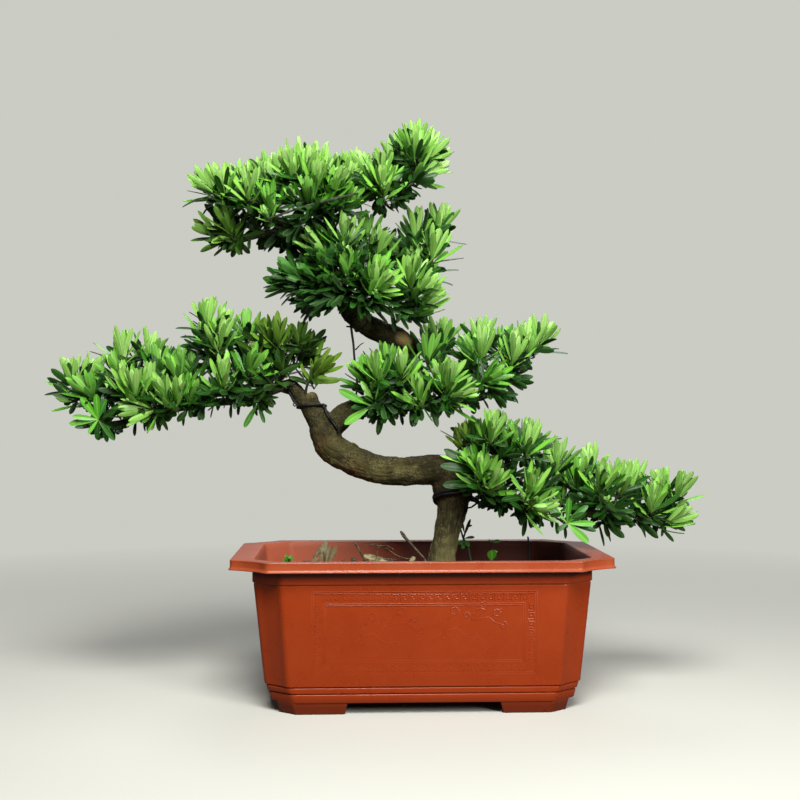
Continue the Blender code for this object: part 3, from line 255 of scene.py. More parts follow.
def pot_ring(height, half_x, half_y, corner_x, corner_y, scoop):
    """The pot's outline at one height: an octagon with rounded corners and slightly hollow chamfers."""
    corners = []
    for sign_x, sign_y in ((1, -1), (1, 1), (-1, 1), (-1, -1)):
        beside = Vector((sign_x * (half_x - corner_x), sign_y * half_y, height))
        ahead = Vector((sign_x * half_x, sign_y * (half_y - corner_y), height))
        inward = Vector((-sign_x * corner_y, -sign_y * corner_x, 0)).normalized() * scoop
        panel = [beside, beside.lerp(ahead, 0.24) + inward, beside.lerp(ahead, 0.76) + inward, ahead]
        corners += panel if sign_x * sign_y < 0 else panel[::-1]
    ring = []
    for at, corner in enumerate(corners):
        inner = int(at % 4 in (1, 2))
        ring += eased(corners[at - 1], corner, corners[(at + 1) % len(corners)], CORNER_ROUNDING[inner],
                      CORNER_POINTS[inner])
    return ring


def rounded_profile(profile):
    """The profile with three points in place of each rounded one."""
    rows = [Vector(row[:3]) for row in profile]
    result = []
    for at, row in enumerate(profile):
        if at in (0, len(profile) - 1) or not row[6]:
            result.append(row[:6])
            continue
        before, here, after = (np.array(profile[at + step][:6]) for step in (-1, 0, 1))
        start = here + (before - here) * min(0.45, row[6] / max(1e-9, (rows[at - 1] - rows[at]).length))
        end = here + (after - here) * min(0.45, row[6] / max(1e-9, (rows[at + 1] - rows[at]).length))
        for share in (0.0, 0.33, 0.67, 1.0):
            result.append(tuple((1 - share) ** 2 * start + 2 * share * (1 - share) * here + share ** 2 * end))
    return result


def loft(rings):
    """Points and faces of a closed solid through rings with equal counts."""
    count = len(rings[0])
    points = [tuple(point) for ring in rings for point in ring]
    faces = [tuple(range(count))[::-1], tuple(range(len(points) - count, len(points)))]
    for low in range(0, len(points) - count, count):
        for side in range(count):
            after = (side + 1) % count
            faces.append((low + side, low + after, low + count + after, low + count + side))
    return points, faces


def gathered(solids):
    """Several solids' points and faces as one list of each."""
    points, faces = [], []
    for some_points, some_faces in solids:
        faces += [tuple(corner + len(points) for corner in face) for face in some_faces]
        points += some_points
    return points, faces


def foot_solid(sign_x, sign_y):
    """One foot: a low block, chamfered as the wall above it is, with rounded lower edges."""
    rings = []
    for height, inset in FOOT_HEIGHTS:
        rise = height / FOOT_HEIGHTS[-1][0]
        half = [low + (high - low) * rise - inset for low, high in zip(FOOT_BOTTOM, FOOT_TOP)]
        inner = [low + (high - low) * rise + inset for low, high in zip(FOOT_INSIDE, FOOT_INSIDE_TOP)]
        cut_x, cut_y = FOOT_CHAMFER
        plan = ((inner[0], half[1]), (half[0] - cut_x, half[1]), (half[0], half[1] - cut_y),
                (half[0], inner[1]), (inner[0], inner[1]))
        ring = rounded_plan([Vector((sign_x * x, sign_y * y, height)) for x, y in plan], FOOT_ROUNDING, 4)
        rings.append(ring if sign_x * sign_y < 0 else ring[::-1])
    return loft(rings)


def wall_point(x, height, lift, side):
    """A point on a long wall of the pot, lifted off it; side is -1 for the front and 1 for the back."""
    (foot, foot_depth), (head, head_depth) = WALL_FOOT, WALL_HEAD
    depth = foot_depth + (height - foot) / (head - foot) * (head_depth - foot_depth)
    return Vector((-side * x, side * (depth + lift), height))


def raised_line(route, side):
    """A low rib on the wall along a route of (x, height) points, crisper towards the upper right."""
    solids = []
    for (x0, z0), (x1, z1) in zip(route, route[1:]):
        run = Vector((x1 - x0, z1 - z0))
        along = run.normalized() * RIB_WIDTH / 2
        across = Vector((-along.y, along.x))
        crisp = min(1.0, max(0.0, (x0 + 4.0 * z0 - RIB_WORN_UNTIL) / RIB_FADE))
        height = RIB_WORN + (RIB_CRISP - RIB_WORN) * crisp
        corners = []
        for lift, share in ((-height, 1.2), (height, 0.30)):
            for end, sign in ((0, 1), (0, -1), (1, -1), (1, 1)):
                x = (x0, x1)[end] + (along.x * (1 if end else -1) + across.x * sign) * share
                z = (z0, z1)[end] + (along.y * (1 if end else -1) + across.y * sign) * share
                corners.append(tuple(wall_point(x, z, lift, side)))
        sides = [(at, (at + 1) % 4, 4 + (at + 1) % 4, 4 + at) for at in range(4)]
        solids.append((corners, [(3, 2, 1, 0), (4, 5, 6, 7)] + sides))
    return solids


def border_lines():
    """The keyed border: two frames with a row of keys between them."""
    lines = []
    for inset in (0.0, FRAME_GAP, BORDER, BORDER + FRAME_GAP):
        left, right = -PANEL_HALF + inset, PANEL_HALF - inset
        low, high = PANEL_LOW + inset, PANEL_HIGH - inset
        lines.append([(left, low), (right, low), (right, high), (left, high), (left, low)])
    across = int(round((2 * PANEL_HALF - 2 * BORDER) / KEY_PITCH))
    upward = int(round((PANEL_HIGH - PANEL_LOW - 2 * BORDER) / KEY_PITCH))
    band = BORDER - 2 * FRAME_GAP
    for step in range(across):
        x = -PANEL_HALF + BORDER + step * KEY_PITCH
        for foot in (PANEL_HIGH - BORDER + KEY_START, PANEL_LOW + KEY_START - FRAME_GAP / 2):
            lines.append([(x + u * KEY_PITCH, foot + (v - 0.1) * band) for u, v in KEY])
    for step in range(upward):
        z = PANEL_LOW + BORDER + step * KEY_PITCH
        for foot in (-PANEL_HALF + KEY_START - FRAME_GAP / 2, PANEL_HALF - BORDER + KEY_START):
            lines.append([(foot + (v - 0.1) * band, z + u * KEY_PITCH) for u, v in KEY])
    return lines


def sprig_lines(centre_x, centre_z):
    """A small blossoming sprig: its stems and its round five-petalled flowers."""
    lines = [[(centre_x + x, centre_z + z) for x, z in stem] for stem in SPRIG]
    for x, z, radius in BLOSSOMS:
        outline = []
        for step in range(PETAL_POINTS + 1):
            turn = 2 * math.pi * step / PETAL_POINTS
            reach = radius * (0.78 + 0.22 * abs(math.cos(2.5 * turn)))
            across, rise = x + reach * math.cos(turn), z + reach * math.sin(turn)
            outline.append((centre_x + across, centre_z + rise))
        lines.append(outline)
    return lines


mottle = bpy.data.node_groups.new("mottle", "ShaderNodeTree")
for socket_name, kind, value in (("Vector", "NodeSocketVector", None), ("Scale", "NodeSocketFloat", 40.0),
                                 ("Low", "NodeSocketFloat", 0.4), ("High", "NodeSocketFloat", 0.6)):
    socket = mottle.interface.new_socket(socket_name, in_out="INPUT", socket_type=kind)
    if value is not None:
        socket.default_value = value
mottle.interface.new_socket("Mask", in_out="OUTPUT", socket_type="NodeSocketFloat")
mottle_in = mottle.nodes.new("NodeGroupInput")
mottle_out = mottle.nodes.new("NodeGroupOutput")
mottle_noise = add_node(mottle, "ShaderNodeTexNoise", {
    "Vector": mottle_in.outputs["Vector"], "Scale": mottle_in.outputs["Scale"],
    "Detail": 6.0, "Roughness": 0.62,
})
mottle_mask = between(mottle, mottle_noise.outputs["Fac"],
                      mottle_in.outputs["Low"], mottle_in.outputs["High"])
mottle.links.new(mottle_mask, mottle_out.inputs["Mask"])


def mottled(tree, vector, scale, low, high):
    """The mask of a patchy, cloudy variation over a surface."""
    inputs = {"Vector": vector, "Scale": scale, "Low": low, "High": high}
    return add_node(tree, "ShaderNodeGroup", inputs, node_tree=mottle).outputs["Mask"]


def bumped(tree, shader, height, strength, distance):
    """Fine relief from a height on the shader's normal."""
    made = add_node(tree, "ShaderNodeBump", {"Height": height, "Strength": strength, "Distance": distance})
    tree.links.new(made.outputs["Normal"], shader.inputs["Normal"])


plastic, tree, shader = new_material("terracotta_plastic")
place = add_node(tree, "ShaderNodeTexCoord").outputs["Object"]
parts_of_place = add_node(tree, "ShaderNodeSeparateXYZ", {"Vector": place})
across, height = parts_of_place.outputs["X"], parts_of_place.outputs["Z"]
faded = mottled(tree, place, 26.0, 0.35, 0.70)
dusty = mottled(tree, place, 90.0, 0.52, 0.78)
body_colour = mixed(tree, faded, TERRACOTTA_DEEP, TERRACOTTA)
body_colour = mixed(tree, between(tree, dusty, 0.0, 1.0, 0.0, 0.06), body_colour, TERRACOTTA_WORN)
inside = add_node(tree, "ShaderNodeAttribute", attribute_name="inner_wall").outputs["Fac"]
# painted light towards the left of the inner wall, and painted shadow towards its right
lit_inside = multiplied(tree, inside, between(tree, across, *INNER_WALL_LIGHT_RUN))
damp_and_shade = multiplied(tree, inside, between(tree, across, *INNER_WALL_SHADOW_RUN))
body_colour = mixed(tree, lit_inside, body_colour, TERRACOTTA_LIT)
body_colour = mixed(tree, damp_and_shade, body_colour, TERRACOTTA_SHADOW)
# painted shade low on the pot, over its feet and bottom band
body_colour = mixed(tree, between(tree, height, *GROUND_SHADE), body_colour, TERRACOTTA_SHADOW)
rim_colour = mixed(tree, between(tree, faded, 0.0, 1.0, 0.3, 0.6), TERRACOTTA, TERRACOTTA_WORN)
# painted shade on the collar just under the rim, then the rim's own paler colour
for heights, tint in ((UNDER_RIM_SHADE, TERRACOTTA_SHADED), (RIM_START, rim_colour)):
    outside = add_node(tree, "ShaderNodeMath", {0: between(tree, height, *heights), 1: inside},
                       operation="SUBTRACT", use_clamp=True)
    body_colour = mixed(tree, outside.outputs["Value"], body_colour, tint)
tree.links.new(body_colour, shader.inputs["Base Color"])
polish = between(tree, faded, 0.0, 1.0, 0.26, 0.32)
duller_inside = add_node(tree, "ShaderNodeMath", {0: inside, 1: 0.30, 2: polish}, operation="MULTIPLY_ADD")
tree.links.new(duller_inside.outputs["Value"], shader.inputs["Roughness"])
shader.inputs["Specular IOR Level"].default_value = 0.40
fine_grain = add_node(tree, "ShaderNodeTexNoise", {"Vector": place, "Scale": 900.0, "Detail": 2.0})
bumped(tree, shader, fine_grain.outputs["Fac"], 0.08, 0.0004)


def drilled(solid, places, radius, heights):
    """A closed solid with round holes cut through it from below."""
    body = new_piece("uncut", *solid, [])
    cutters = []
    for number, x in enumerate(places):
        rings = []
        for z in heights:
            turns = [2 * math.pi * step / DRAIN_SIDES for step in range(DRAIN_SIDES)]
            rings.append([Vector((x + radius * math.cos(t), radius * math.sin(t), z)) for t in turns])
        cutters.append(new_piece("drill_%d" % number, *loft(rings), []))
        cut = body.modifiers.new("hole", "BOOLEAN")
        cut.operation, cut.solver, cut.object = "DIFFERENCE", "EXACT", cutters[-1]
    mesh = bpy.data.meshes.new_from_object(body.evaluated_get(bpy.context.evaluated_depsgraph_get()))
    points = [tuple(vertex.co) for vertex in mesh.vertices]
    faces = [tuple(polygon.vertices) for polygon in mesh.polygons]
    for spare in (body, *cutters):
        bpy.data.objects.remove(spare)
    return points, faces


tray = loft([pot_ring(*row) for row in rounded_profile(POT_PROFILE)])
pot_solids = [drilled(tray, DRAIN_PLACES, DRAIN_RADIUS, DRAIN_HEIGHTS)]
pot_solids += [foot_solid(x, y) for x in (1, -1) for y in (1, -1)]
relief_lines = border_lines() + [line for place in SPRIG_PLACES for line in sprig_lines(*place)]
for side in (-1, 1):
    for line in relief_lines:
        pot_solids += raised_line(line, side)
pot = new_piece("pot_body", *gathered(pot_solids), [plastic], sharp=38)
inner_wall = []
for polygon in pot.data.polygons:
    inward = polygon.normal.xy.dot(polygon.center.xy) < -0.01
    within = polygon.center.z > INNER_WALL_ABOVE and abs(polygon.center.y) < INNER_WALL_DEPTH
    inner_wall.append(float(inward and within))
pot.data.attributes.new("inner_wall", "FLOAT", "FACE").data.foreach_set("value", inner_wall)
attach(pot, "root")
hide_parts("pot")

# The soil: dark, crumbly potting mix that fills the pot to some 30 mm under its rim and rises a little
# towards the trunk. Loose crumbs of bark, pumice and earth lie on it.
SOIL_BOTTOM, SOIL_EDGE, SOIL_MOUND = 0.0170, 0.1218, 0.0110
SOIL_HALF, SOIL_CORNER = (0.1661, 0.0954), (0.0275, 0.0222)
SOIL_BOTTOM_HALF, SOIL_BOTTOM_CORNER = (0.1502, 0.0888), (0.0240, 0.0195)
SOIL_RINGS, SOIL_BUMPS = 26, 0.0016
CRUMBS, CRUMB_SIZE, CRUMB_REACH, CRUMB_CORNER = 1100, (0.0010, 0.0036), (0.155, 0.085), 1.72
CRUMB_TIPS = ((1, 0, 0), (-0.8, 0.1, 0), (0.1, 0.8, 0), (0, -0.9, 0.1), (0.1, 0, 0.7), (0, 0.1, -0.6))
CRUMB_FACES = ((0, 2, 4), (2, 1, 4), (1, 3, 4), (3, 0, 4), (2, 0, 5), (1, 2, 5), (3, 1, 5), (0, 3, 5))
SOIL_DARK, SOIL_BROWN, SOIL_PALE = paint(38, 28, 22), paint(92, 66, 46), paint(158, 140, 116)


def soil_height(x, y):
    """The height of the lumpy soil at a place."""
    share = max(abs(x) / SOIL_HALF[0], abs(y) / SOIL_HALF[1])
    lumps = noise.fractal(Vector((60 * x, 60 * y, 0.3)), 0.8, 2.1, 5)
    return SOIL_EDGE + SOIL_MOUND * (1 - min(1.0, share) ** 2) + SOIL_BUMPS * lumps


soil_paint, tree, shader = new_material("potting_soil")
place = add_node(tree, "ShaderNodeTexCoord").outputs["Object"]
grit = mottled(tree, place, 260.0, 0.46, 0.62)
damp_and_shade = mottled(tree, place, 60.0, 0.40, 0.65)
flecks = mottled(tree, place, 700.0, 0.66, 0.72)
earth = mixed(tree, grit, SOIL_DARK, SOIL_BROWN)
earth = mixed(tree, between(tree, damp_and_shade, 0.0, 1.0, 0.5, 0.0), earth, SOIL_DARK)
tree.links.new(mixed(tree, flecks, earth, SOIL_PALE), shader.inputs["Base Color"])
tree.links.new(between(tree, damp_and_shade, 0.0, 1.0, 0.98, 0.90), shader.inputs["Roughness"])
shader.inputs["Specular IOR Level"].default_value = 0.15
bumped(tree, shader, grit, 0.7, 0.0012)

draw = random.Random("soil")
soil_solids = []
rings = [pot_ring(SOIL_BOTTOM, *SOIL_BOTTOM_HALF, *SOIL_BOTTOM_CORNER, 0.0),
         pot_ring(SOIL_EDGE - 0.002, *SOIL_HALF, *SOIL_CORNER, 0.0)]
for step in range(SOIL_RINGS):
    share = 1 - step / SOIL_RINGS * 0.985
    ring = pot_ring(0.0, *SOIL_HALF, *SOIL_CORNER, 0.0)
    rings.append([Vector((share * p.x, share * p.y, soil_height(share * p.x, share * p.y))) for p in ring])
soil_solids.append(loft(rings))
reach_x, reach_y = CRUMB_REACH
for _ in range(CRUMBS):
    x, y = draw.uniform(-reach_x, reach_x), draw.uniform(-reach_y, reach_y)
    if abs(x) / reach_x + abs(y) / reach_y > CRUMB_CORNER:
        continue
    size = draw.uniform(*CRUMB_SIZE)
    turn = Vector((draw.uniform(-1, 1), draw.uniform(-1, 1), draw.uniform(-1, 1))).to_track_quat("Z", "Y")
    centre = Vector((x, y, soil_height(x, y) + 0.25 * size))
    crumb = [tuple(centre + turn @ Vector(tip) * size * draw.uniform(0.7, 1.1)) for tip in CRUMB_TIPS]
    soil_solids.append((crumb, CRUMB_FACES))
soil = new_piece("soil_surface", *gathered(soil_solids), [soil_paint], sharp=35)
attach(soil, "root")
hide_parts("soil")

# The trunk: one grown stem, wired into shape over many years. It stands up from the soil, turns hard to
# the left at a swollen knee, forks, and winds back over itself as the second trunk. A cut stub and the
# starts of the side branches grow from it. The bark is thin, grey-brown and finely furrowed.
UPRIGHT_TRUNK = (
    (0.0225, 0.000, 0.090, 0.0122), (0.0235, 0.000, 0.112, 0.0142), (0.0245, 0.000, 0.128, 0.0148),
    (0.026, 0.000, 0.146, 0.0140), (0.028, 0.000, 0.160, 0.0136), (0.031, 0.000, 0.176, 0.0138),
    (0.034, 0.000, 0.188, 0.0152), (0.036, 0.000, 0.201, 0.0170), (0.0355, 0.000, 0.215, 0.0196),
    (0.034, 0.000, 0.227, 0.0200), (0.033, 0.000, 0.241, 0.0140), (0.031, 0.000, 0.249, 0.0070),
)
LEVEL_TRUNK = (
    (0.052, 0.000, 0.228, 0.0090), (0.044, 0.000, 0.234, 0.0150), (0.026, 0.000, 0.238, 0.0170),
    (0.009, 0.000, 0.2388, 0.0162), (-0.018, 0.000, 0.2372, 0.0154), (-0.044, 0.000, 0.2398, 0.0154),
    (-0.064, 0.000, 0.2464, 0.0159), (-0.080, 0.000, 0.2538, 0.0158), (-0.0940, 0.000, 0.2632, 0.0164),
    (-0.1000, 0.000, 0.2760, 0.0160), (-0.1055, 0.000, 0.2900, 0.0140), (-0.1160, 0.000, 0.3065, 0.0110),
    (-0.1272, 0.000, 0.3180, 0.0080), (-0.1348, 0.000, 0.3280, 0.0066),
)
SECOND_TRUNK = (
    (-0.095, 0.000, 0.282, 0.0120), (-0.080, 0.004, 0.298, 0.0122), (-0.063, 0.008, 0.306, 0.0115),
    (-0.046, 0.012, 0.311, 0.0115), (-0.029, 0.018, 0.322, 0.0115), (-0.016, 0.024, 0.338, 0.0112),
    (-0.009, 0.028, 0.355, 0.0112), (-0.011, 0.028, 0.371, 0.0118), (-0.022, 0.025, 0.382, 0.0122),
    (-0.039, 0.020, 0.388, 0.0122), (-0.057, 0.014, 0.396, 0.0116), (-0.072, 0.006, 0.408, 0.0108),
    (-0.082, 0.000, 0.424, 0.0098), (-0.090, 0.000, 0.443, 0.0088), (-0.104, 0.000, 0.462, 0.0080),
    (-0.120, 0.002, 0.477, 0.0073), (-0.132, 0.004, 0.489, 0.0066), (-0.136, 0.004, 0.500, 0.0055),
)
STUB = ((-0.110, 0.000, 0.298, 0.0064), (-0.1132, -0.002, 0.3085, 0.0066), (-0.1144, -0.004, 0.3175, 0.0062))
BARK_SWELLINGS = (
    (-0.0715, -0.003, 0.2628, 0.0062), (-0.1040, -0.006, 0.2740, 0.0080), (0.0330, -0.012, 0.2360, 0.0060),
    (-0.0620, -0.012, 0.2420, 0.0035), (0.0240, -0.010, 0.1750, 0.0030), (0.0200, -0.002, 0.2300, 0.0100),
)
LIMBS = {
    "left_branch": (
        (-0.127, 0.000, 0.319, 0.0070), (-0.140, 0.000, 0.331, 0.0054), (-0.160, 0.000, 0.323, 0.0050),
        (-0.180, 0.000, 0.316, 0.0048), (-0.198, 0.000, 0.313, 0.0046), (-0.222, 0.000, 0.311, 0.0044),
        (-0.247, 0.000, 0.307, 0.0041), (-0.271, 0.000, 0.302, 0.0038), (-0.289, 0.000, 0.297, 0.0036),
        (-0.310, 0.000, 0.291, 0.0032), (-0.334, 0.000, 0.288, 0.0026),
    ),
    "right_branch": (
        (-0.052, 0.010, 0.309, 0.0066), (-0.036, 0.000, 0.306, 0.0056), (-0.015, -0.008, 0.306, 0.0050),
        (0.014, -0.008, 0.310, 0.0046), (0.038, -0.008, 0.313, 0.0042), (0.063, -0.006, 0.316, 0.0038),
        (0.085, -0.004, 0.325, 0.0032), (0.100, 0.000, 0.338, 0.0024),
    ),
    "low_branch": (
        (0.040, 0.000, 0.232, 0.0095), (0.062, 0.000, 0.223, 0.0082), (0.077, 0.000, 0.216, 0.0072),
        (0.091, 0.000, 0.211, 0.0064), (0.105, 0.000, 0.207, 0.0058), (0.136, 0.000, 0.200, 0.0052),
        (0.172, 0.000, 0.194, 0.0046), (0.202, 0.000, 0.191, 0.0041), (0.229, 0.000, 0.190, 0.0036),
        (0.253, 0.000, 0.191, 0.0028),
    ),
    "middle_left_branch": (
        (-0.085, 0.000, 0.431, 0.0060), (-0.102, 0.000, 0.437, 0.0048), (-0.112, 0.000, 0.439, 0.0042),
        (-0.123, 0.000, 0.441, 0.0032),
    ),
    "middle_front_branch": (
        (-0.073, 0.004, 0.409, 0.0052), (-0.071, -0.013, 0.414, 0.0044), (-0.068, -0.028, 0.421, 0.0040),
        (-0.064, -0.037, 0.431, 0.0030),
    ),
    "middle_right_branch": (
        (-0.066, 0.008, 0.405, 0.0058), (-0.053, 0.001, 0.416, 0.0050), (-0.036, 0.000, 0.421, 0.0046),
        (-0.015, 0.000, 0.425, 0.0041), (0.003, 0.000, 0.436, 0.0035), (0.014, 0.002, 0.455, 0.0026),
    ),
    "crown_low_branch": (
        (-0.134, 0.004, 0.491, 0.0048), (-0.151, 0.002, 0.494, 0.0042), (-0.169, 0.000, 0.492, 0.0038),
        (-0.191, 0.000, 0.485, 0.0030),
    ),
    "crown_left_branch": (
        (-0.135, 0.004, 0.496, 0.0046), (-0.149, 0.003, 0.505, 0.0040), (-0.165, 0.000, 0.514, 0.0036),
        (-0.184, 0.000, 0.522, 0.0032), (-0.203, 0.000, 0.527, 0.0026),
    ),
    "crown_right_branch": (
        (-0.136, 0.004, 0.498, 0.0055), (-0.134, 0.004, 0.509, 0.0050), (-0.129, 0.002, 0.516, 0.0047),
        (-0.120, 0.000, 0.523, 0.0044), (-0.093, 0.000, 0.531, 0.0040), (-0.072, 0.000, 0.536, 0.0037),
        (-0.053, 0.000, 0.537, 0.0035), (-0.035, 0.000, 0.540, 0.0033), (-0.015, 0.000, 0.550, 0.0029),
        (0.001, 0.000, 0.566, 0.0023),
    ),
    "knot_sprout": (
        (-0.120, 0.000, 0.309, 0.0024), (-0.1218, -0.006, 0.3185, 0.0016), (-0.1195, -0.010, 0.3300, 0.0014),
        (-0.113, -0.010, 0.343, 0.0012),
    ),
}
BARK_VOXEL, SKIN_EASE, ROUTE_STEPS, WOOD_SIDES, SWELLING_SIDES = 0.0011, (0.6, 6), 6, 20, 12
FURROW_DEPTH, FURROW_SCALE, LUMP_DEPTH, LUMP_SCALE = 0.00055, 420.0, 0.0011, 85.0
GRAIN_DRIFT, GRAIN_STRETCH = Vector((1.0, 0.7, 0.4)), 0.16
BARK_GREY, BARK_BROWN, BARK_DARK = paint(78, 73, 36), paint(40, 31, 13), paint(18, 15, 6)
BARK_PALE, BARK_MOSS, BARK_TAN = paint(126, 120, 78), paint(46, 52, 18), paint(196, 168, 108)
# a painted reflection of the red pot, and the pale cut end of the stub
BARK_POT_REFLECTION, CUT_WOOD = paint(84, 48, 22), paint(138, 124, 86)
BARK_SPOTS = (
    # place, where the spot starts to fade and where it ends, how strong it is, colour
    ((0.032, -0.008, 0.226), 0.014, 0.030, 0.72, BARK_BROWN),
    ((0.0170, -0.014, 0.2320), 0.003, 0.010, 0.70, BARK_DARK),
    ((-0.012, 0.012, 0.372), 0.012, 0.034, 0.60, BARK_BROWN),
    ((-0.0165, 0.012, 0.3820), 0.002, 0.010, 0.90, BARK_TAN),
    ((-0.0090, 0.014, 0.3765), 0.002, 0.010, 0.80, BARK_TAN),
    ((-0.0045, 0.016, 0.3830), 0.002, 0.009, 0.80, BARK_DARK),
    # painted reflection: the pot's red on the lower front of the level trunk
    ((-0.069, -0.012, 0.236), 0.004, 0.020, 0.50, BARK_POT_REFLECTION),
    ((-0.108, -0.010, 0.266), 0.004, 0.018, 0.40, BARK_POT_REFLECTION),
    ((-0.1148, -0.006, 0.3220), 0.003, 0.008, 0.70, CUT_WOOD),
)


def smooth_route(points, steps):
    """Points and radii on a smooth curve through a route of (x, y, z, radius)."""
    rows = [Vector(point) for point in points]
    route = []
    for at in range(len(rows) - 1):
        p0, p1, p2, p3 = rows[max(0, at - 1)], rows[at], rows[at + 1], rows[min(len(rows) - 1, at + 2)]
        for step in range(steps):
            t = step / steps
            spline = 2 * p1 + (p2 - p0) * t + (2 * p0 - 5 * p1 + 4 * p2 - p3) * t ** 2
            route.append((spline + (3 * p1 - p0 - 3 * p2 + p3) * t ** 3) / 2)
    route.append(rows[-1])
    return [point.xyz for point in route], [point.w for point in route]


def tube(route, radii, sides):
    """Points and faces of a round stem along a route, closed at both ends."""
    last = len(route) - 1
    side = Vector((0, 1, 0))
    rings = []
    for at, centre in enumerate(route):
        run = (route[min(at + 1, last)] - route[max(at - 1, 0)]).normalized()
        if abs(run.dot(side)) > 0.95:
            side = Vector((1, 0, 0))
        side = (side - run * side.dot(run)).normalized()
        across = run.cross(side)
        ring = []
        for turn in (2 * math.pi * step / sides for step in range(sides)):
            ring.append(centre + radii[at] * (math.cos(turn) * side + math.sin(turn) * across))
        rings.append(ring)
    return loft(rings)


def domed(route, radii):
    """A route whose two ends close in round tips."""
    first, last = (route[0] - route[1]).normalized(), (route[-1] - route[-2]).normalized()
    ends = ((0.55, 0.80), (0.90, 0.40))
    before = [(route[0] + first * radii[0] * out, radii[0] * share) for out, share in ends][::-1]
    after = [(route[-1] + last * radii[-1] * out, radii[-1] * share) for out, share in ends]
    rows = before + list(zip(route, radii)) + after
    return [row[0] for row in rows], [row[1] for row in rows]


def grown_together(name, solids, voxel):
    """One skin over stems that run into each other."""
    piece = new_piece(name, *gathered(solids), [])
    remesh = piece.modifiers.new("skin", "REMESH")
    remesh.mode = "VOXEL"
    remesh.voxel_size = voxel
    smooth = piece.modifiers.new("ease", "SMOOTH")
    smooth.factor, smooth.iterations = SKIN_EASE
    graph = bpy.context.evaluated_depsgraph_get()
    mesh = bpy.data.meshes.new_from_object(piece.evaluated_get(graph))
    piece.modifiers.clear()
    piece.data = mesh
    mesh.name = name
    return piece


wood_stems = [UPRIGHT_TRUNK, LEVEL_TRUNK, SECOND_TRUNK, STUB] + [points[:3] for points in LIMBS.values()]
wood_routes = [smooth_route(points, ROUTE_STEPS) for points in wood_stems]
wood_solids = [tube(*domed(*route), WOOD_SIDES) for route in wood_routes]
for x, y, z, radius in BARK_SWELLINGS:
    bump_route = [Vector((x - 0.4 * radius, y, z)), Vector((x, y, z)), Vector((x + 0.4 * radius, y, z))]
    bump_radii = [radius * 0.8, radius, radius * 0.8]
    wood_solids.append(tube(*domed(bump_route, bump_radii), SWELLING_SIDES))
trunk = grown_together("trunk_wood", wood_solids, BARK_VOXEL)

samples, sample_runs, sample_travel = [], [], []
travel = 0.0
for route, _ in wood_routes:
    for before, after in zip(route, route[1:]):
        samples.append((before + after) / 2)
        sample_runs.append((after - before).normalized())
        travel += (after - before).length
        sample_travel.append(travel)
sample_places = np.array(samples)
vertex_count = len(trunk.data.vertices)
bark_points = np.empty(vertex_count * 3)
bark_normals = np.empty(vertex_count * 3)
trunk.data.vertices.foreach_get("co", bark_points)
trunk.data.vertices.foreach_get("normal", bark_normals)
bark_points = bark_points.reshape(-1, 3)
bark_normals = bark_normals.reshape(-1, 3)
bark_grain = np.empty((vertex_count, 3))
for at, point in enumerate(bark_points):
    nearest = int(((sample_places - point) ** 2).sum(axis=1).argmin())
    run = sample_runs[nearest]
    out = Vector(point) - samples[nearest]
    length_on = sample_travel[nearest] + out.dot(run)
    out = out - run * out.dot(run)
    bark_grain[at] = out + GRAIN_DRIFT * length_on * GRAIN_STRETCH
    furrow = noise.fractal(Vector(bark_grain[at]) * FURROW_SCALE, 0.7, 2.0, 4)
    lump = noise.fractal(Vector(point) * LUMP_SCALE, 0.9, 2.0, 3)
    bark_points[at] += bark_normals[at] * (FURROW_DEPTH * furrow + LUMP_DEPTH * lump)
trunk.data.vertices.foreach_set("co", bark_points.ravel())
grain = trunk.data.attributes.new("grain", "FLOAT_VECTOR", "POINT")
grain.data.foreach_set("vector", bark_grain.ravel())
trunk.data.shade_smooth()

bark, tree, shader = new_material("podocarp_bark")
place = add_node(tree, "ShaderNodeTexCoord").outputs["Object"]
grain = add_node(tree, "ShaderNodeAttribute", attribute_name="grain").outputs["Vector"]
streaks = mottled(tree, grain, 330.0, 0.36, 0.68)
threads = mottled(tree, grain, 900.0, 0.40, 0.66)
patches = mottled(tree, place, 40.0, 0.40, 0.58)
moss = mottled(tree, place, 52.0, 0.50, 0.68)
flakes = mottled(tree, place, 620.0, 0.46, 0.66)
flaking = mottled(tree, place, 46.0, 0.40, 0.60)
pits = mottled(tree, place, 300.0, 0.56, 0.70)
height = add_node(tree, "ShaderNodeSeparateXYZ", {"Vector": place}).outputs["Z"]
upright = between(tree, height, 0.195, 0.225, 1.0, 0.45)
colour = mixed(tree, patches, BARK_BROWN, BARK_GREY)
streaky = multiplied(tree, between(tree, streaks, 0.0, 1.0, 0.62, 0.0), upright)
colour = mixed(tree, streaky, colour, BARK_DARK)
thready = multiplied(tree, between(tree, threads, 0.3, 1.0, 0.0, 0.34), upright)
colour = mixed(tree, thready, colour, BARK_PALE)
flaky = multiplied(tree, flakes, flaking)
colour = mixed(tree, between(tree, flaky, 0.0, 0.7, 0.0, 0.75), colour, BARK_PALE)
colour = mixed(tree, between(tree, moss, 0.0, 1.0, 0.0, 0.60), colour, BARK_MOSS)
colour = mixed(tree, between(tree, pits, 0.0, 1.0, 0.0, 0.7), colour, BARK_DARK)
# painted shade: the wood higher up, under the pads, is darkened
colour = mixed(tree, between(tree, height, 0.245, 0.290, 0.0, 0.42), colour, BARK_DARK)
colour = mixed(tree, between(tree, height, 0.135, 0.185, 0.34, 0.0), colour, BARK_PALE)
for spot, inner, outer, amount, tint in BARK_SPOTS:
    distance = add_node(tree, "ShaderNodeVectorMath", {0: place, 1: spot}, operation="DISTANCE")
    fading = between(tree, distance.outputs["Value"], inner, outer, amount, 0.0)
    blotch = multiplied(tree, fading, between(tree, streaks, 0.0, 1.0, 1.0, 0.45))
    colour = mixed(tree, blotch, colour, tint)
tree.links.new(colour, shader.inputs["Base Color"])
shader.inputs["Specular IOR Level"].default_value = 0.22
tree.links.new(between(tree, streaks, 0.0, 1.0, 0.92, 0.66), shader.inputs["Roughness"])
bumped(tree, shader, threads, 0.55, 0.0008)
trunk.data.materials.append(bark)
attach(trunk, "root")
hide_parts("trunk")

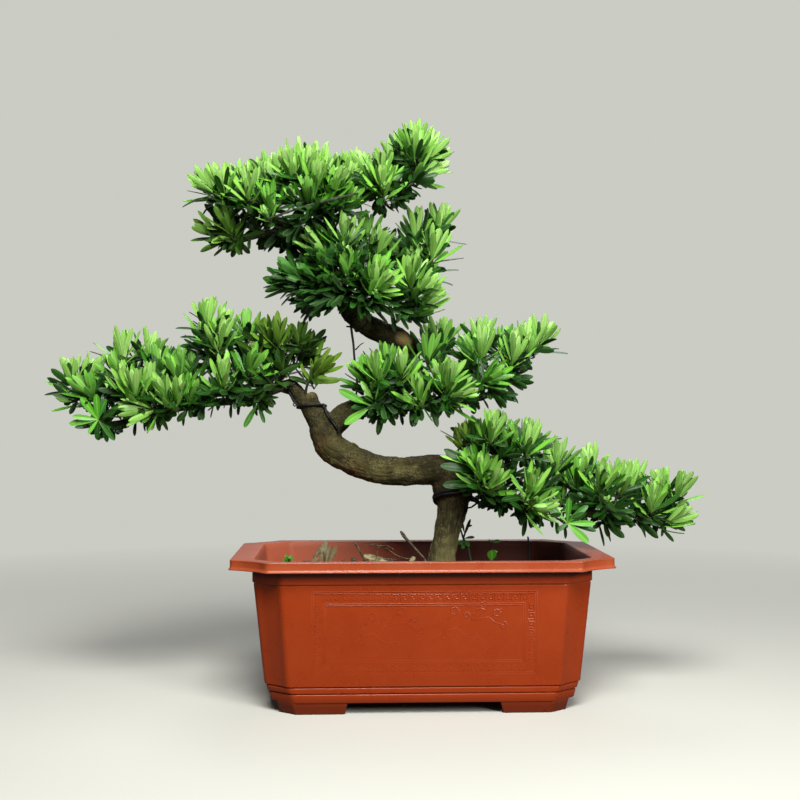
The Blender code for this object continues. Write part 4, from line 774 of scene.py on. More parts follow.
# The training wires: black plastic-coated wire wound tightly round the wood, a strap under the knee with
# its knot and tail, a figure of eight over the fork, and a guy that pulls the second trunk down to it.
WIRES = {
    # rings: centre, axis, reach, points, radius; strands: route, radii at its two ends
    "trunk_tie": (
        (
            ((0.0355, 0.000, 0.2072), (-0.06, 0.42, 0.90), 0.0200, 40, 0.0017),
            ((0.0355, 0.000, 0.2098), (-0.04, 0.42, 0.90), 0.0205, 40, 0.0016),
        ),
        (
            (((0.0535, -0.004, 0.2095), (0.0570, -0.006, 0.2100),
              (0.0605, -0.006, 0.2072)), (0.0017, 0.0019)),
            (((0.0585, -0.006, 0.2080), (0.0610, -0.007, 0.2062),
              (0.0640, -0.006, 0.2036)), (0.0030, 0.0024)),
            (((0.0620, -0.007, 0.2040), (0.0595, -0.009, 0.2020), (0.0545, -0.010, 0.1985),
              (0.0495, -0.012, 0.1946)), (0.0012, 0.0007)),
            (((0.0600, -0.008, 0.2070), (0.0640, -0.010, 0.2085),
              (0.0665, -0.010, 0.2110)), (0.0011, 0.0008)),
        ),
    ),
    "fork_wire": (
        (
            ((-0.1368, 0.000, 0.3298), (-0.60, 0.0, 0.80), 0.0090, 24, 0.0016),
            ((-0.1150, 0.000, 0.3070), (-0.05, 0.16, 0.99), 0.0150, 36, 0.0016),
        ),
        (
            (((-0.1406, -0.001, 0.3231), (-0.1395, -0.0036, 0.3215), (-0.1372, -0.0042, 0.3180),
              (-0.1335, -0.0046, 0.3138), (-0.1310, -0.0050, 0.3100),
              (-0.1287, -0.0048, 0.3064)), (0.0014, 0.0013)),
            (((-0.1315, -0.0045, 0.3120), (-0.1345, -0.0070, 0.3105), (-0.1335, -0.0080, 0.3075),
              (-0.1300, -0.0060, 0.3070)), (0.0008, 0.0006)),
            (((-0.1030, -0.0060, 0.3085), (-0.1006, -0.0080, 0.3075), (-0.0998, -0.0105, 0.3020),
              (-0.0975, -0.0120, 0.2980), (-0.0953, -0.0126, 0.2949), (-0.0913, -0.0133, 0.2892),
              (-0.0881, -0.0140, 0.2844), (-0.0846, -0.0142, 0.2801)), (0.0018, 0.0015)),
        ),
    ),
    "guy_wire": (
        (
            ((-0.0600, 0.013, 0.3980), (-0.72, -0.33, 0.61), 0.0135, 28, 0.0009),
            ((-0.0645, 0.008, 0.3063), (0.93, 0.23, 0.28), 0.0135, 28, 0.0010),
        ),
        (
            (((-0.0745, -0.002, 0.4035), (-0.0731, -0.004, 0.3929), (-0.0718, -0.004, 0.3830),
              (-0.0705, -0.003, 0.3738), (-0.0693, -0.004, 0.3577), (-0.0674, -0.005, 0.3453),
              (-0.0669, -0.005, 0.3372), (-0.0667, -0.005, 0.3267), (-0.0672, 0.000, 0.3215),
              (-0.0680, 0.007, 0.3195)), (0.0014, 0.0010)),
            (((-0.0674, -0.005, 0.3470), (-0.0660, -0.006, 0.3400),
              (-0.0660, -0.006, 0.3300)), (0.0006, 0.0006)),
            (((-0.0774, -0.003, 0.3928), (-0.0720, -0.006, 0.3919),
              (-0.0618, -0.004, 0.3886)), (0.0010, 0.0008)),
            (((-0.0680, -0.004, 0.3680), (-0.0660, -0.005, 0.3700), (-0.0625, -0.006, 0.3735),
              (-0.0595, -0.006, 0.3750)), (0.0008, 0.0004)),
            (((-0.0695, -0.005, 0.3262), (-0.0655, -0.006, 0.3260),
              (-0.0620, -0.005, 0.3246)), (0.0031, 0.0026)),
            (((-0.0640, -0.005, 0.3235), (-0.0606, -0.005, 0.3205)), (0.0023, 0.0018)),
        ),
    ),
}
WIRE_SIDES, WIRE_SEARCH, WIRE_GAP = 8, 0.0035, 0.0001
WIRE_BLACK, WIRE_SCUFFED = paint(12, 12, 13), paint(38, 36, 34)
ANCHOR_WIRE = (
    (0.1205, 0.020, 0.1100, 0.0010), (0.1212, 0.020, 0.1320, 0.0010), (0.1212, 0.020, 0.1500, 0.0010),
    (0.1210, 0.020, 0.1620, 0.0010), (0.1205, 0.020, 0.1642, 0.0009),
)


def laid_on(surface, points, radius):
    """Points near the bark moved until they lie on it."""
    laid = []
    for point in points:
        for _ in range(6):
            near, normal, _, distance = surface.find_nearest(point)
            if (point - near).dot(normal) < 0:
                point = near + normal * (radius + WIRE_GAP)
            elif distance < radius + WIRE_SEARCH:
                point = near + (point - near).normalized() * (radius + WIRE_GAP)
        laid.append(point)
    return laid


def tapered(first, last, count):
    """Radii that run evenly from the first to the last."""
    return [first + (last - first) * step / (count - 1) for step in range(count)]


def round_stem(points, sides):
    """Points and faces of a stem with round tips through rows of (x, y, z, radius)."""
    return tube(*domed(*smooth_route(points, 4)), sides)


def ring_of_wire(surface, centre, way, reach, count, radius):
    """A closed ring of wire that lies tightly round the wood."""
    way = Vector(way).normalized()
    side = way.cross(Vector((0, 1, 0))).normalized()
    across = way.cross(side)
    turns = [2 * math.pi * step / count for step in range(count)]
    route = [Vector(centre) + reach * (math.cos(turn) * side + math.sin(turn) * across) for turn in turns]
    route = laid_on(surface, route, radius)
    route = [(route[at - 1] + 2 * route[at] + route[(at + 1) % count]) / 4 for at in range(count)]
    points, faces = [], []
    for at in range(count):
        run = (route[(at + 1) % count] - route[at - 1]).normalized()
        out = run.cross(way).normalized()
        for turn in (2 * math.pi * step / WIRE_SIDES for step in range(WIRE_SIDES)):
            spoke = math.cos(turn) * out + math.sin(turn) * out.cross(run)
            points.append(tuple(route[at] + radius * spoke))
    for at in range(count):
        low, high = at * WIRE_SIDES, (at + 1) % count * WIRE_SIDES
        for step in range(WIRE_SIDES):
            after = (step + 1) % WIRE_SIDES
            faces.append((low + step, low + after, high + after, high + step))
    return points, faces


wire_paint, tree, shader = new_material("black_wire")
place = add_node(tree, "ShaderNodeTexCoord").outputs["Object"]
scuffed = mottled(tree, place, 500.0, 0.50, 0.68)
tree.links.new(mixed(tree, scuffed, WIRE_BLACK, WIRE_SCUFFED), shader.inputs["Base Color"])
tree.links.new(between(tree, scuffed, 0.0, 1.0, 0.50, 0.75), shader.inputs["Roughness"])
shader.inputs["Specular IOR Level"].default_value = 0.30
bumped(tree, shader, scuffed, 0.2, 0.0003)

bark_surface = BVHTree.FromObject(trunk, bpy.context.evaluated_depsgraph_get())
for name, (rings, strands) in WIRES.items():
    wire_solids = [ring_of_wire(bark_surface, *ring) for ring in rings]
    for points, (thick, thin) in strands:
        rows = [(*point, 0.0) for point in points]
        route, _ = smooth_route(rows, 5)
        route = laid_on(bark_surface, route, thick)
        wire_solids.append(tube(*domed(route, tapered(thick, thin, len(route))), WIRE_SIDES))
    wire = new_piece("wound_" + name, *gathered(wire_solids), [wire_paint], sharp=60)
    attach(wire, "root")
    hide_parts(name)
anchor = new_piece("anchor_wire_end", *round_stem(ANCHOR_WIRE, WIRE_SIDES), [wire_paint], sharp=60)
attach(anchor, "root")
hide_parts("anchor_wire")

# The leafy branches: thin wood set with narrow, blunt, leathery leaves, 27 to 40 mm long, in a spiral.
# Upright tufts of this year's leaves stand bright green over flatter, dark, waxy leaves of last year,
# with small yellow-green buds between them. The pads are dense, and nearly black inside, partly from
# painted shade in the old leaves' colour.
LEAF_STATIONS = (0.0, 0.10, 0.26, 0.44, 0.62, 0.78, 0.91, 1.0)
LEAF_WIDTHS = (0.18, 0.28, 0.60, 0.87, 1.00, 0.95, 0.72, 0.20)
LEAF_SECTION = ((-1.0, 0.42), (-0.5, 0.34), (0.0, -0.06), (0.5, 0.34), (1.0, 0.42), (0.0, -0.55))
LEAF_THICKNESS = 0.0011
SPIRAL = math.radians(137.5)
# leaves, stem length, widest and narrowest opening, leaf length and width, age from first to last leaf,
# and the number of old leaves in a skirt beneath
NEW = (15, 0.0170, 60, 8, 0.0395, 0.0066, 0.34, 0.06, 5)
MID = (14, 0.0160, 60, 9, 0.0380, 0.0066, 0.66, 0.28, 4)
DOME = (18, 0.0150, 64, 6, 0.0275, 0.0050, 0.84, 0.56, 4)
TIP = (9, 0.0120, 44, 8, 0.0260, 0.0056, 0.42, 0.22, 2)
BROAD = (3, 0.0050, 24, 5, 0.0385, 0.0088, 0.52, 0.42, 0)
SPROUT = (8, 0.0110, 52, 10, 0.0370, 0.0064, 0.62, 0.36, 2)
OLD = (9, 0.0120, 52, 14, 0.0330, 0.0072, 1.00, 0.90, 0)
SMALL = (10, 0.0080, 55, 8, 0.0200, 0.0050, 0.36, 0.08, 2)
STALK = (2, 0.0060, 70, 30, 0.0120, 0.0034, 0.30, 0.10, 2)
FEW = (4, 0.0080, 60, 30, 0.0300, 0.0058, 0.95, 0.80, 0)
FRESH = (5, 0.0100, 56, 20, 0.0300, 0.0062, 0.50, 0.25, 2)
TUCKED = (7, 0.0080, 48, 16, 0.0240, 0.0070, 1.00, 0.94, 0)
HANGING = (4, 0.0060, 34, 8, 0.0340, 0.0074, 1.00, 0.86, 0)
NEEDLES = (12, 0.0120, 30, 4, 0.0400, 0.0044, 1.00, 0.92, 0)
SHADED = (14, 0.0160, 60, 9, 0.0380, 0.0070, 0.94, 0.58, 4)
WARM = (13, 0.0160, 66, 10, 0.0400, 0.0068, 0.84, 0.54, 4)
# the old leaves along the limbs, along the twigs and in the skirts, and the twigs and buds themselves
LIMB_LEAF_STEP, LIMB_OPENING, LIMB_LEAF, LIMB_AGES = 0.0034, (78, 60), (0.032, 0.0066), (1.0, 0.90)
TWIG_LEAF_STEP, TWIG_OPENING, TWIG_LEAF, TWIG_AGES = 0.0026, (84, 52), (0.031, 0.0064), (1.0, 0.88)
SKIRT_RUN, SKIRT_OPENING, SKIRT_LENGTH, SKIRT_WIDTH = (0.010, 0.002), (84, 62), 0.92, 0.0070
SKIRT_AGES, HANGING_SHARE = (1.0, 0.84), 0.62
TWIG_RADII, TWIG_TIP_RADIUS, LEAFY_TWIG_FROM = (0.0018, 0.0012), 0.0008, 0.008
BUD_LEAVES, BUD_LEAF, BUD_OPENING, BUD_RISE, BUD_SEARCH = 7, (0.0075, 0.0026), (70, 10), 0.004, 0.012
SIDEWAYS_LEAN, TUFT_DEPTH, STALK_WAY = 14.0, 0.0100, (0.05, -1.0, 0.10)
TURNING_LINE, LIGHT_PULL = 0.020, 0.70
# centre and reach of the places where older leaves have turned olive
OLIVE_PLACES = ((-0.140, 0.0, 0.350, 0.050), (-0.200, 0.0, 0.480, 0.045), (0.045, -0.028, 0.274, 0.020))
# the colours of a leaf's upper and lower face by its age; the oldest are near black, partly their own
# dark green and partly painted shade deep in the pads
LEAF_TOP = (
    (0.0, paint(152, 194, 98)), (0.20, paint(124, 192, 62)), (0.42, paint(88, 172, 26)),
    (0.68, paint(33, 103, 11)), (1.0, paint(6, 28, 5)),
)
LEAF_BELOW = (
    (0.0, paint(154, 194, 110)), (0.22, paint(132, 192, 74)), (0.44, paint(98, 176, 40)),
    (0.70, paint(38, 102, 20)), (1.0, paint(10, 35, 10)),
)
LEAF_PALE, LEAF_RIB, LEAF_BAND = paint(182, 216, 140), paint(184, 220, 116), paint(192, 222, 146)
# the dark leaf margins are painted shade that parts each leaf from the ones it overlaps
LEAF_EDGE_BELOW, LEAF_EDGE_TOP, LEAF_ROOT = paint(52, 124, 40), paint(52, 128, 36), paint(176, 196, 82)
LEAF_OLIVE, LEAF_SHADOW, LEAF_CLOUD = paint(96, 112, 22), paint(36, 88, 28), paint(120, 170, 90)
TWIG_DARK, TWIG_GREEN = paint(24, 32, 16), paint(54, 62, 34)
# leafless twigs in front of a pad
BARE_TWIGS = {
    "crown_right_branch": (
        (-0.160, -0.062, 0.4975, 0.0009), (-0.122, -0.067, 0.5095, 0.0013), (-0.090, -0.063, 0.5195, 0.0012),
        (-0.068, -0.048, 0.5270, 0.0012), (-0.058, -0.024, 0.5330, 0.0012), (-0.054, 0.000, 0.5370, 0.0012),
    ),
}
SINGLE_LEAVES = {
    # root, tip, width, bend, how much the upper face turns to the viewer, age
    "left_branch": (
        ((-0.3325, -0.0450, 0.2928), (-0.3490, -0.0510, 0.3156), 0.0074, 0.3, 0.85, 0.52),
        ((-0.3325, -0.0450, 0.2928), (-0.3340, -0.0500, 0.3187), 0.0072, 0.2, 0.75, 0.58),
        ((-0.3325, -0.0450, 0.2928), (-0.3252, -0.0480, 0.3145), 0.0062, 0.3, 0.60, 0.68),
        ((-0.3325, -0.0450, 0.2928), (-0.3614, -0.0510, 0.2897), 0.0066, 0.4, 0.85, 0.46),
        ((-0.3325, -0.0450, 0.2928), (-0.3563, -0.0530, 0.2970), 0.0060, 0.3, 0.80, 0.50),
        ((-0.3325, -0.0450, 0.2928), (-0.3418, -0.0500, 0.2795), 0.0046, 0.3, 0.80, 0.46),
        ((-0.3325, -0.0450, 0.2928), (-0.3345, -0.0450, 0.2722), 0.0054, 0.3, 0.70, 0.90),
        ((-0.3325, -0.0450, 0.2928), (-0.3160, -0.0470, 0.2722), 0.0056, 0.3, 0.80, 0.80),
        ((-0.1715, -0.0150, 0.3110), (-0.1959, -0.0240, 0.3098), 0.0052, 0.3, 0.70, 0.66),
        ((-0.1715, -0.0150, 0.3100), (-0.1853, -0.0220, 0.2854), 0.0062, 0.2, 0.90, 0.62),
        ((-0.1715, -0.0150, 0.3100), (-0.1642, -0.0200, 0.2897), 0.0046, 0.2, 0.85, 0.76),
        ((-0.1715, -0.0150, 0.3105), (-0.1567, -0.0200, 0.2992), 0.0044, 0.3, 0.80, 0.68),
    ),
    "right_branch": (
        ((-0.0530, -0.0490, 0.3071), (-0.0850, -0.0560, 0.3237), 0.0086, 0.2, 0.90, 0.54),
        ((-0.0530, -0.0490, 0.3060), (-0.0795, -0.0550, 0.2890), 0.0084, 0.3, 0.90, 0.43),
    ),
    "low_branch": (
        ((0.1495, -0.0595, 0.1861), (0.1268, -0.0640, 0.2121), 0.0062, 0.4, 0.70, 0.52),
        ((0.1495, -0.0595, 0.1861), (0.1513, -0.0640, 0.2121), 0.0066, 0.2, 0.75, 0.64),
        ((0.1495, -0.0595, 0.1861), (0.1696, -0.0640, 0.2051), 0.0066, 0.3, 0.70, 0.70),
        ((0.1495, -0.0595, 0.1861), (0.1768, -0.0680, 0.1870), 0.0066, 0.3, 0.80, 0.50),
        ((0.1495, -0.0595, 0.1861), (0.1696, -0.0700, 0.1682), 0.0082, 0.3, 0.90, 0.50),
        ((0.1495, -0.0595, 0.1861), (0.1809, -0.0600, 0.1795), 0.0060, 0.3, 0.70, 0.84),
        ((0.1495, -0.0595, 0.1861), (0.1395, -0.0640, 0.1795), 0.0052, 0.3, 0.80, 0.80),
        ((0.1110, -0.0560, 0.2030), (0.1400, -0.0640, 0.1890), 0.0058, 0.3, 0.70, 0.28),
        ((0.1110, -0.0560, 0.2030), (0.1290, -0.0640, 0.2060), 0.0050, 0.3, 0.70, 0.24),
        ((0.0555, -0.0425, 0.2437), (0.0250, -0.0540, 0.2625), 0.0082, 0.3, 0.80, 0.94),
        ((0.0582, -0.0398, 0.2397), (0.0215, -0.0540, 0.2466), 0.0088, 0.3, 0.80, 0.98),
        ((0.0580, -0.0408, 0.2252), (0.0235, -0.0540, 0.2262), 0.0088, 0.3, 0.85, 0.97),
        ((0.0555, -0.0425, 0.2437), (0.0210, -0.0540, 0.2575), 0.0038, 0.3, 0.70, 0.22),
    ),
}
# where each tuft stands, its lean to the right in degrees, and its kind
SHOOTS = {
    "crown_left_branch": (
        (-0.219, -0.005, 0.534, -42, NEW), (-0.206, -0.025, 0.529, -15, NEW),
        (-0.200, 0.025, 0.543, -12, NEW), (-0.180, -0.035, 0.522, -5, NEW), (-0.180, 0.005, 0.538, -8, NEW),
        (-0.178, 0.036, 0.547, -5, NEW), (-0.190, -0.005, 0.525, -90, OLD),
        (-0.160, -0.045, 0.505, -30, SMALL), (-0.155, -0.040, 0.510, -20, MID),
        (-0.162, 0.030, 0.555, -8, NEW), (-0.160, -0.015, 0.536, -5, NEW),
    ),
    "crown_low_branch": (
        (-0.199, -0.020, 0.489, -30, WARM), (-0.213, 0.000, 0.488, -62, WARM),
        (-0.208, 0.020, 0.506, -25, SHADED), (-0.197, 0.000, 0.482, -168, FEW),
        (-0.198, 0.030, 0.494, -70, FEW), (-0.141, 0.002, 0.486, -140, TUCKED),
        (-0.139, 0.022, 0.486, -165, TUCKED), (-0.163, 0.012, 0.490, -90, TUCKED),
        (-0.176, 0.000, 0.500, -10, OLD), (-0.192, -0.010, 0.489, -152, HANGING),
        (-0.152, -0.004, 0.489, -142, HANGING), (-0.197, -0.014, 0.493, -116, BROAD),
    ),
    "crown_right_branch": (
        (-0.145, -0.010, 0.548, -20, NEW), (-0.135, -0.030, 0.546, -10, NEW),
        (-0.130, 0.020, 0.565, 0, NEW), (-0.120, -0.035, 0.546, 10, NEW),
        (-0.135, -0.050, 0.525, -20, SMALL), (-0.115, -0.050, 0.515, -5, MID),
        (-0.115, 0.040, 0.569, 6, NEW), (-0.110, -0.040, 0.533, 12, NEW), (-0.105, 0.010, 0.552, 12, NEW),
        (-0.115, -0.030, 0.500, 175, OLD), (-0.130, -0.025, 0.497, -130, OLD),
        (-0.095, 0.025, 0.556, 12, NEW), (-0.095, -0.035, 0.530, 30, NEW), (-0.085, -0.015, 0.540, 35, NEW),
        (-0.100, -0.020, 0.508, 20, OLD), (-0.095, 0.015, 0.505, -20, OLD),
        (-0.110, 0.010, 0.515, -10, MID), (-0.075, 0.010, 0.553, 25, NEW), (-0.078, 0.015, 0.540, 60, MID),
        (-0.097, -0.040, 0.520, 20, MID), (-0.080, -0.030, 0.515, 40, MID),
        (-0.085, -0.035, 0.515, 120, OLD), (-0.040, -0.040, 0.530, -5, NEW),
        (-0.040, -0.030, 0.545, -5, NEW), (-0.053, 0.005, 0.553, -24, NEW), (-0.030, 0.020, 0.565, 5, NEW),
        (-0.020, 0.040, 0.582, 0, NEW), (-0.015, 0.025, 0.570, 5, MID), (-0.005, -0.010, 0.575, -5, NEW),
        (-0.003, 0.015, 0.589, 6, NEW), (0.008, 0.025, 0.581, 20, NEW), (0.006, 0.000, 0.571, 42, NEW),
        (0.001, -0.010, 0.555, 60, NEW), (-0.005, -0.030, 0.545, 75, OLD),
        (-0.020, -0.025, 0.533, 85, TUCKED), (-0.025, 0.005, 0.530, 105, TUCKED),
        (-0.040, -0.005, 0.524, 175, TUCKED), (-0.050, -0.030, 0.540, -70, OLD),
    ),
    "middle_left_branch": (
        (-0.095, -0.040, 0.448, -35, SHADED), (-0.088, -0.045, 0.432, -60, OLD),
        (-0.100, -0.035, 0.458, -60, OLD), (-0.085, -0.035, 0.420, -95, OLD),
        (-0.108, -0.012, 0.462, -20, MID), (-0.128, -0.020, 0.442, -48, SHADED),
        (-0.137, 0.006, 0.440, -84, SHADED), (-0.115, 0.010, 0.425, -112, OLD),
        (-0.112, -0.010, 0.420, -118, OLD), (-0.107, -0.035, 0.435, -50, SHADED),
        (-0.100, -0.030, 0.468, -45, NEW), (-0.118, 0.022, 0.462, -25, SHADED),
        (-0.112, 0.030, 0.480, -10, MID), (-0.104, -0.036, 0.426, -112, NEEDLES),
        (-0.092, -0.040, 0.421, -124, NEEDLES), (-0.112, -0.020, 0.432, -104, NEEDLES),
    ),
    "middle_front_branch": (
        (-0.075, -0.045, 0.440, -10, MID), (-0.066, -0.045, 0.420, -150, TUCKED),
        (-0.060, -0.045, 0.440, -25, OLD), (-0.068, -0.030, 0.455, 15, OLD),
        (-0.050, -0.030, 0.440, 25, MID), (-0.055, -0.048, 0.415, 120, TUCKED),
        (-0.080, -0.040, 0.475, 3, NEW), (-0.075, -0.045, 0.460, 20, SMALL),
        (-0.085, -0.040, 0.455, -80, OLD), (-0.057, 0.005, 0.485, 8, MID), (-0.045, -0.010, 0.467, 12, NEW),
        (-0.037, 0.030, 0.474, 20, MID), (-0.048, -0.050, 0.427, -5, NEW), (-0.050, -0.050, 0.425, 60, NEW),
        (-0.072, -0.035, 0.425, -105, OLD), (-0.062, -0.042, 0.415, 170, HANGING),
        (-0.063, 0.025, 0.460, 5, MID), (-0.052, -0.040, 0.416, 112, NEEDLES),
    ),
    "middle_right_branch": (
        (-0.012, -0.035, 0.435, 0, NEW), (-0.008, -0.010, 0.447, 12, NEW), (-0.025, 0.010, 0.462, -5, MID),
        (-0.003, 0.005, 0.490, 5, NEW), (0.023, 0.020, 0.500, 12, NEW), (0.012, 0.040, 0.488, 0, MID),
        (0.014, -0.010, 0.466, 12, NEW), (0.006, 0.000, 0.450, 75, TUCKED),
        (-0.004, -0.030, 0.425, 45, NEW), (0.000, -0.020, 0.410, 48, NEW),
        (-0.012, -0.012, 0.410, 105, OLD), (-0.025, -0.028, 0.410, 130, OLD),
        (-0.014, 0.038, 0.460, 10, MID), (-0.008, -0.005, 0.474, 0, OLD),
    ),
    "left_branch": (
        (-0.366, -0.010, 0.312, -70, FRESH), (-0.370, 0.008, 0.330, -14, NEW),
        (-0.344, -0.020, 0.317, -38, MID), (-0.360, 0.030, 0.332, 15, NEW),
        (-0.331, -0.030, 0.290, 160, FEW), (-0.3325, -0.038, 0.293, -65, STALK),
        (-0.337, 0.018, 0.310, -20, OLD), (-0.318, 0.010, 0.358, 4, NEW), (-0.317, -0.012, 0.335, -26, MID),
        (-0.304, -0.032, 0.319, -12, NEW), (-0.295, -0.040, 0.315, -5, NEW), (-0.292, 0.022, 0.360, 5, NEW),
        (-0.288, -0.022, 0.319, 5, NEW), (-0.281, -0.035, 0.304, -85, NEW), (-0.314, 0.032, 0.330, 0, MID),
        (-0.278, 0.008, 0.343, 0, MID), (-0.262, -0.042, 0.311, -18, NEW),
        (-0.256, -0.012, 0.333, -15, MID), (-0.255, -0.035, 0.309, 12, NEW),
        (-0.241, -0.030, 0.311, 20, MID), (-0.280, -0.020, 0.300, -170, FRESH),
        (-0.239, 0.005, 0.339, -20, MID), (-0.227, 0.006, 0.392, 0, NEW), (-0.226, -0.005, 0.368, -12, OLD),
        (-0.198, 0.008, 0.350, 10, OLD), (-0.176, 0.010, 0.352, -8, OLD), (-0.153, 0.012, 0.350, 4, OLD),
        (-0.218, 0.006, 0.358, -10, OLD), (-0.192, -0.010, 0.334, 15, TUCKED),
        (-0.169, -0.004, 0.334, 0, TUCKED), (-0.212, -0.012, 0.369, 8, NEW),
        (-0.224, 0.028, 0.356, -5, MID), (-0.205, -0.040, 0.328, 0, NEW), (-0.210, -0.035, 0.320, -85, OLD),
        (-0.231, -0.022, 0.308, -120, TUCKED), (-0.262, 0.038, 0.345, 0, MID),
        (-0.186, 0.015, 0.382, -5, MID), (-0.173, -0.025, 0.364, -25, SMALL),
        (-0.189, -0.032, 0.321, -120, TUCKED), (-0.178, -0.038, 0.340, 30, MID),
        (-0.158, -0.005, 0.373, -20, MID), (-0.150, -0.022, 0.373, 0, MID),
        (-0.232, 0.000, 0.380, -14, FRESH), (-0.214, 0.006, 0.382, 16, NEW),
        (-0.136, 0.010, 0.367, -12, DOME), (-0.128, -0.008, 0.374, 2, DOME),
        (-0.120, 0.004, 0.368, 22, DOME), (-0.122, 0.010, 0.355, 50, OLD),
        (-0.145, -0.030, 0.345, -30, OLD), (-0.160, -0.035, 0.332, -70, OLD),
        (-0.167, -0.015, 0.317, 140, TUCKED), (-0.171, -0.012, 0.315, 180, STALK),
        (-0.170, 0.035, 0.355, -10, MID),
    ),
    "knot_sprout": (
        (-0.1085, -0.012, 0.3460, 46, SPROUT), (-0.1120, -0.012, 0.3400, 12, FRESH),
        (-0.114, -0.010, 0.3345, 84, BROAD), (-0.117, -0.010, 0.3340, -30, FEW),
    ),
    "right_branch": (
        (-0.046, -0.048, 0.335, -15, NEW), (-0.020, -0.042, 0.337, 0, NEW), (-0.035, -0.020, 0.344, 0, MID),
        (-0.054, -0.048, 0.307, -90, STALK), (-0.048, -0.040, 0.305, -140, TUCKED),
        (-0.040, -0.038, 0.309, 176, OLD), (-0.050, -0.046, 0.312, -30, FRESH),
        (-0.056, -0.030, 0.330, -34, MID), (-0.030, -0.040, 0.308, 160, TUCKED),
        (-0.026, -0.035, 0.309, 160, TUCKED), (-0.002, -0.048, 0.311, -8, NEW),
        (-0.010, -0.040, 0.307, 175, FEW), (0.010, 0.000, 0.355, 12, MID), (0.014, 0.032, 0.370, 5, MID),
        (-0.020, -0.022, 0.323, -10, OLD), (0.026, 0.018, 0.373, 8, NEW), (0.022, -0.028, 0.325, -5, NEW),
        (0.026, -0.042, 0.326, 15, NEW), (0.030, -0.045, 0.316, 70, NEW),
        (0.018, -0.038, 0.312, 150, TUCKED), (0.030, -0.035, 0.312, 125, TUCKED),
        (0.069, 0.020, 0.374, 8, NEW), (0.066, -0.018, 0.360, 5, NEW), (0.054, 0.005, 0.355, -8, MID),
        (0.099, -0.015, 0.354, 12, NEW), (0.095, 0.032, 0.370, 8, MID), (0.117, 0.002, 0.366, -3, NEW),
        (0.132, 0.010, 0.375, 14, NEW), (0.096, -0.010, 0.336, 88, OLD), (0.080, -0.015, 0.323, 112, OLD),
        (0.079, -0.008, 0.325, 128, FEW), (0.066, -0.038, 0.334, 60, MID), (0.052, 0.025, 0.336, 10, MID),
        (-0.002, -0.044, 0.306, 174, HANGING), (0.012, -0.046, 0.309, 140, HANGING),
        (-0.040, -0.046, 0.305, 190, HANGING),
    ),
    "low_branch": (
        (0.047, -0.030, 0.274, -4, TIP), (0.064, 0.000, 0.266, -10, MID), (0.074, -0.028, 0.271, 4, NEW),
        (0.062, -0.045, 0.230, -5, NEW), (0.058, -0.040, 0.240, -35, MID), (0.068, -0.048, 0.221, 35, NEW),
        (0.056, -0.042, 0.225, -80, TUCKED), (0.074, -0.028, 0.212, -165, TUCKED),
        (0.088, -0.015, 0.206, 168, FEW), (0.043, -0.028, 0.266, -22, TIP), (0.170, -0.005, 0.222, 5, MID),
        (0.165, 0.020, 0.226, -5, OLD), (0.096, -0.010, 0.232, 5, OLD), (0.175, -0.020, 0.206, 20, OLD),
        (0.128, -0.020, 0.214, 0, TUCKED), (0.096, -0.014, 0.260, 2, MID), (0.086, -0.020, 0.253, -15, OLD),
        (0.085, 0.020, 0.270, 8, NEW), (0.113, -0.018, 0.259, 5, NEW), (0.121, 0.012, 0.262, 10, NEW),
        (0.113, -0.045, 0.215, 10, NEW), (0.086, -0.032, 0.214, 168, HANGING),
        (0.102, -0.032, 0.208, 148, HANGING), (0.114, -0.048, 0.200, 75, NEW),
        (0.112, -0.030, 0.199, 155, OLD), (0.150, 0.010, 0.240, 5, NEW), (0.142, 0.035, 0.234, 20, MID),
        (0.132, -0.015, 0.226, 5, OLD), (0.1495, -0.052, 0.186, 0, STALK), (0.155, 0.000, 0.205, -5, MID),
        (0.188, 0.010, 0.234, 3, NEW), (0.190, -0.030, 0.219, 0, NEW), (0.213, -0.012, 0.217, 0, NEW),
        (0.233, 0.020, 0.218, 12, NEW), (0.190, -0.035, 0.205, -50, OLD), (0.204, -0.025, 0.195, 95, OLD),
        (0.198, -0.010, 0.184, 120, OLD), (0.247, -0.025, 0.197, 3, NEW), (0.266, 0.012, 0.209, -8, NEW),
        (0.277, -0.005, 0.208, 20, NEW), (0.265, -0.015, 0.182, 55, NEW), (0.236, -0.015, 0.186, 112, OLD),
        (0.259, 0.010, 0.186, 105, OLD), (0.243, 0.032, 0.198, 10, MID),
    ),
}
# places of the yellow-green buds
BUDDED = (
    (0.070, -0.050, 0.221), (0.106, -0.052, 0.208), (0.112, -0.054, 0.204), (0.110, -0.050, 0.214),
    (0.196, -0.040, 0.206), (0.199, -0.042, 0.212), (0.108, -0.040, 0.254), (-0.052, -0.052, 0.428),
    (-0.048, -0.055, 0.420), (-0.042, -0.054, 0.424), (-0.006, -0.045, 0.430), (0.006, -0.040, 0.422),
    (0.014, -0.035, 0.428), (0.018, -0.032, 0.421), (0.000, -0.044, 0.314), (-0.008, -0.050, 0.309),
    (-0.018, -0.048, 0.312), (-0.042, -0.050, 0.333), (-0.080, -0.045, 0.470), (-0.073, -0.050, 0.464),
    (-0.040, -0.048, 0.532), (-0.036, -0.050, 0.540), (-0.200, -0.040, 0.330), (-0.152, -0.045, 0.512),
)


def unit(rows):
    """Rows of vectors made one long."""
    return rows / np.linalg.norm(rows, axis=1, keepdims=True)


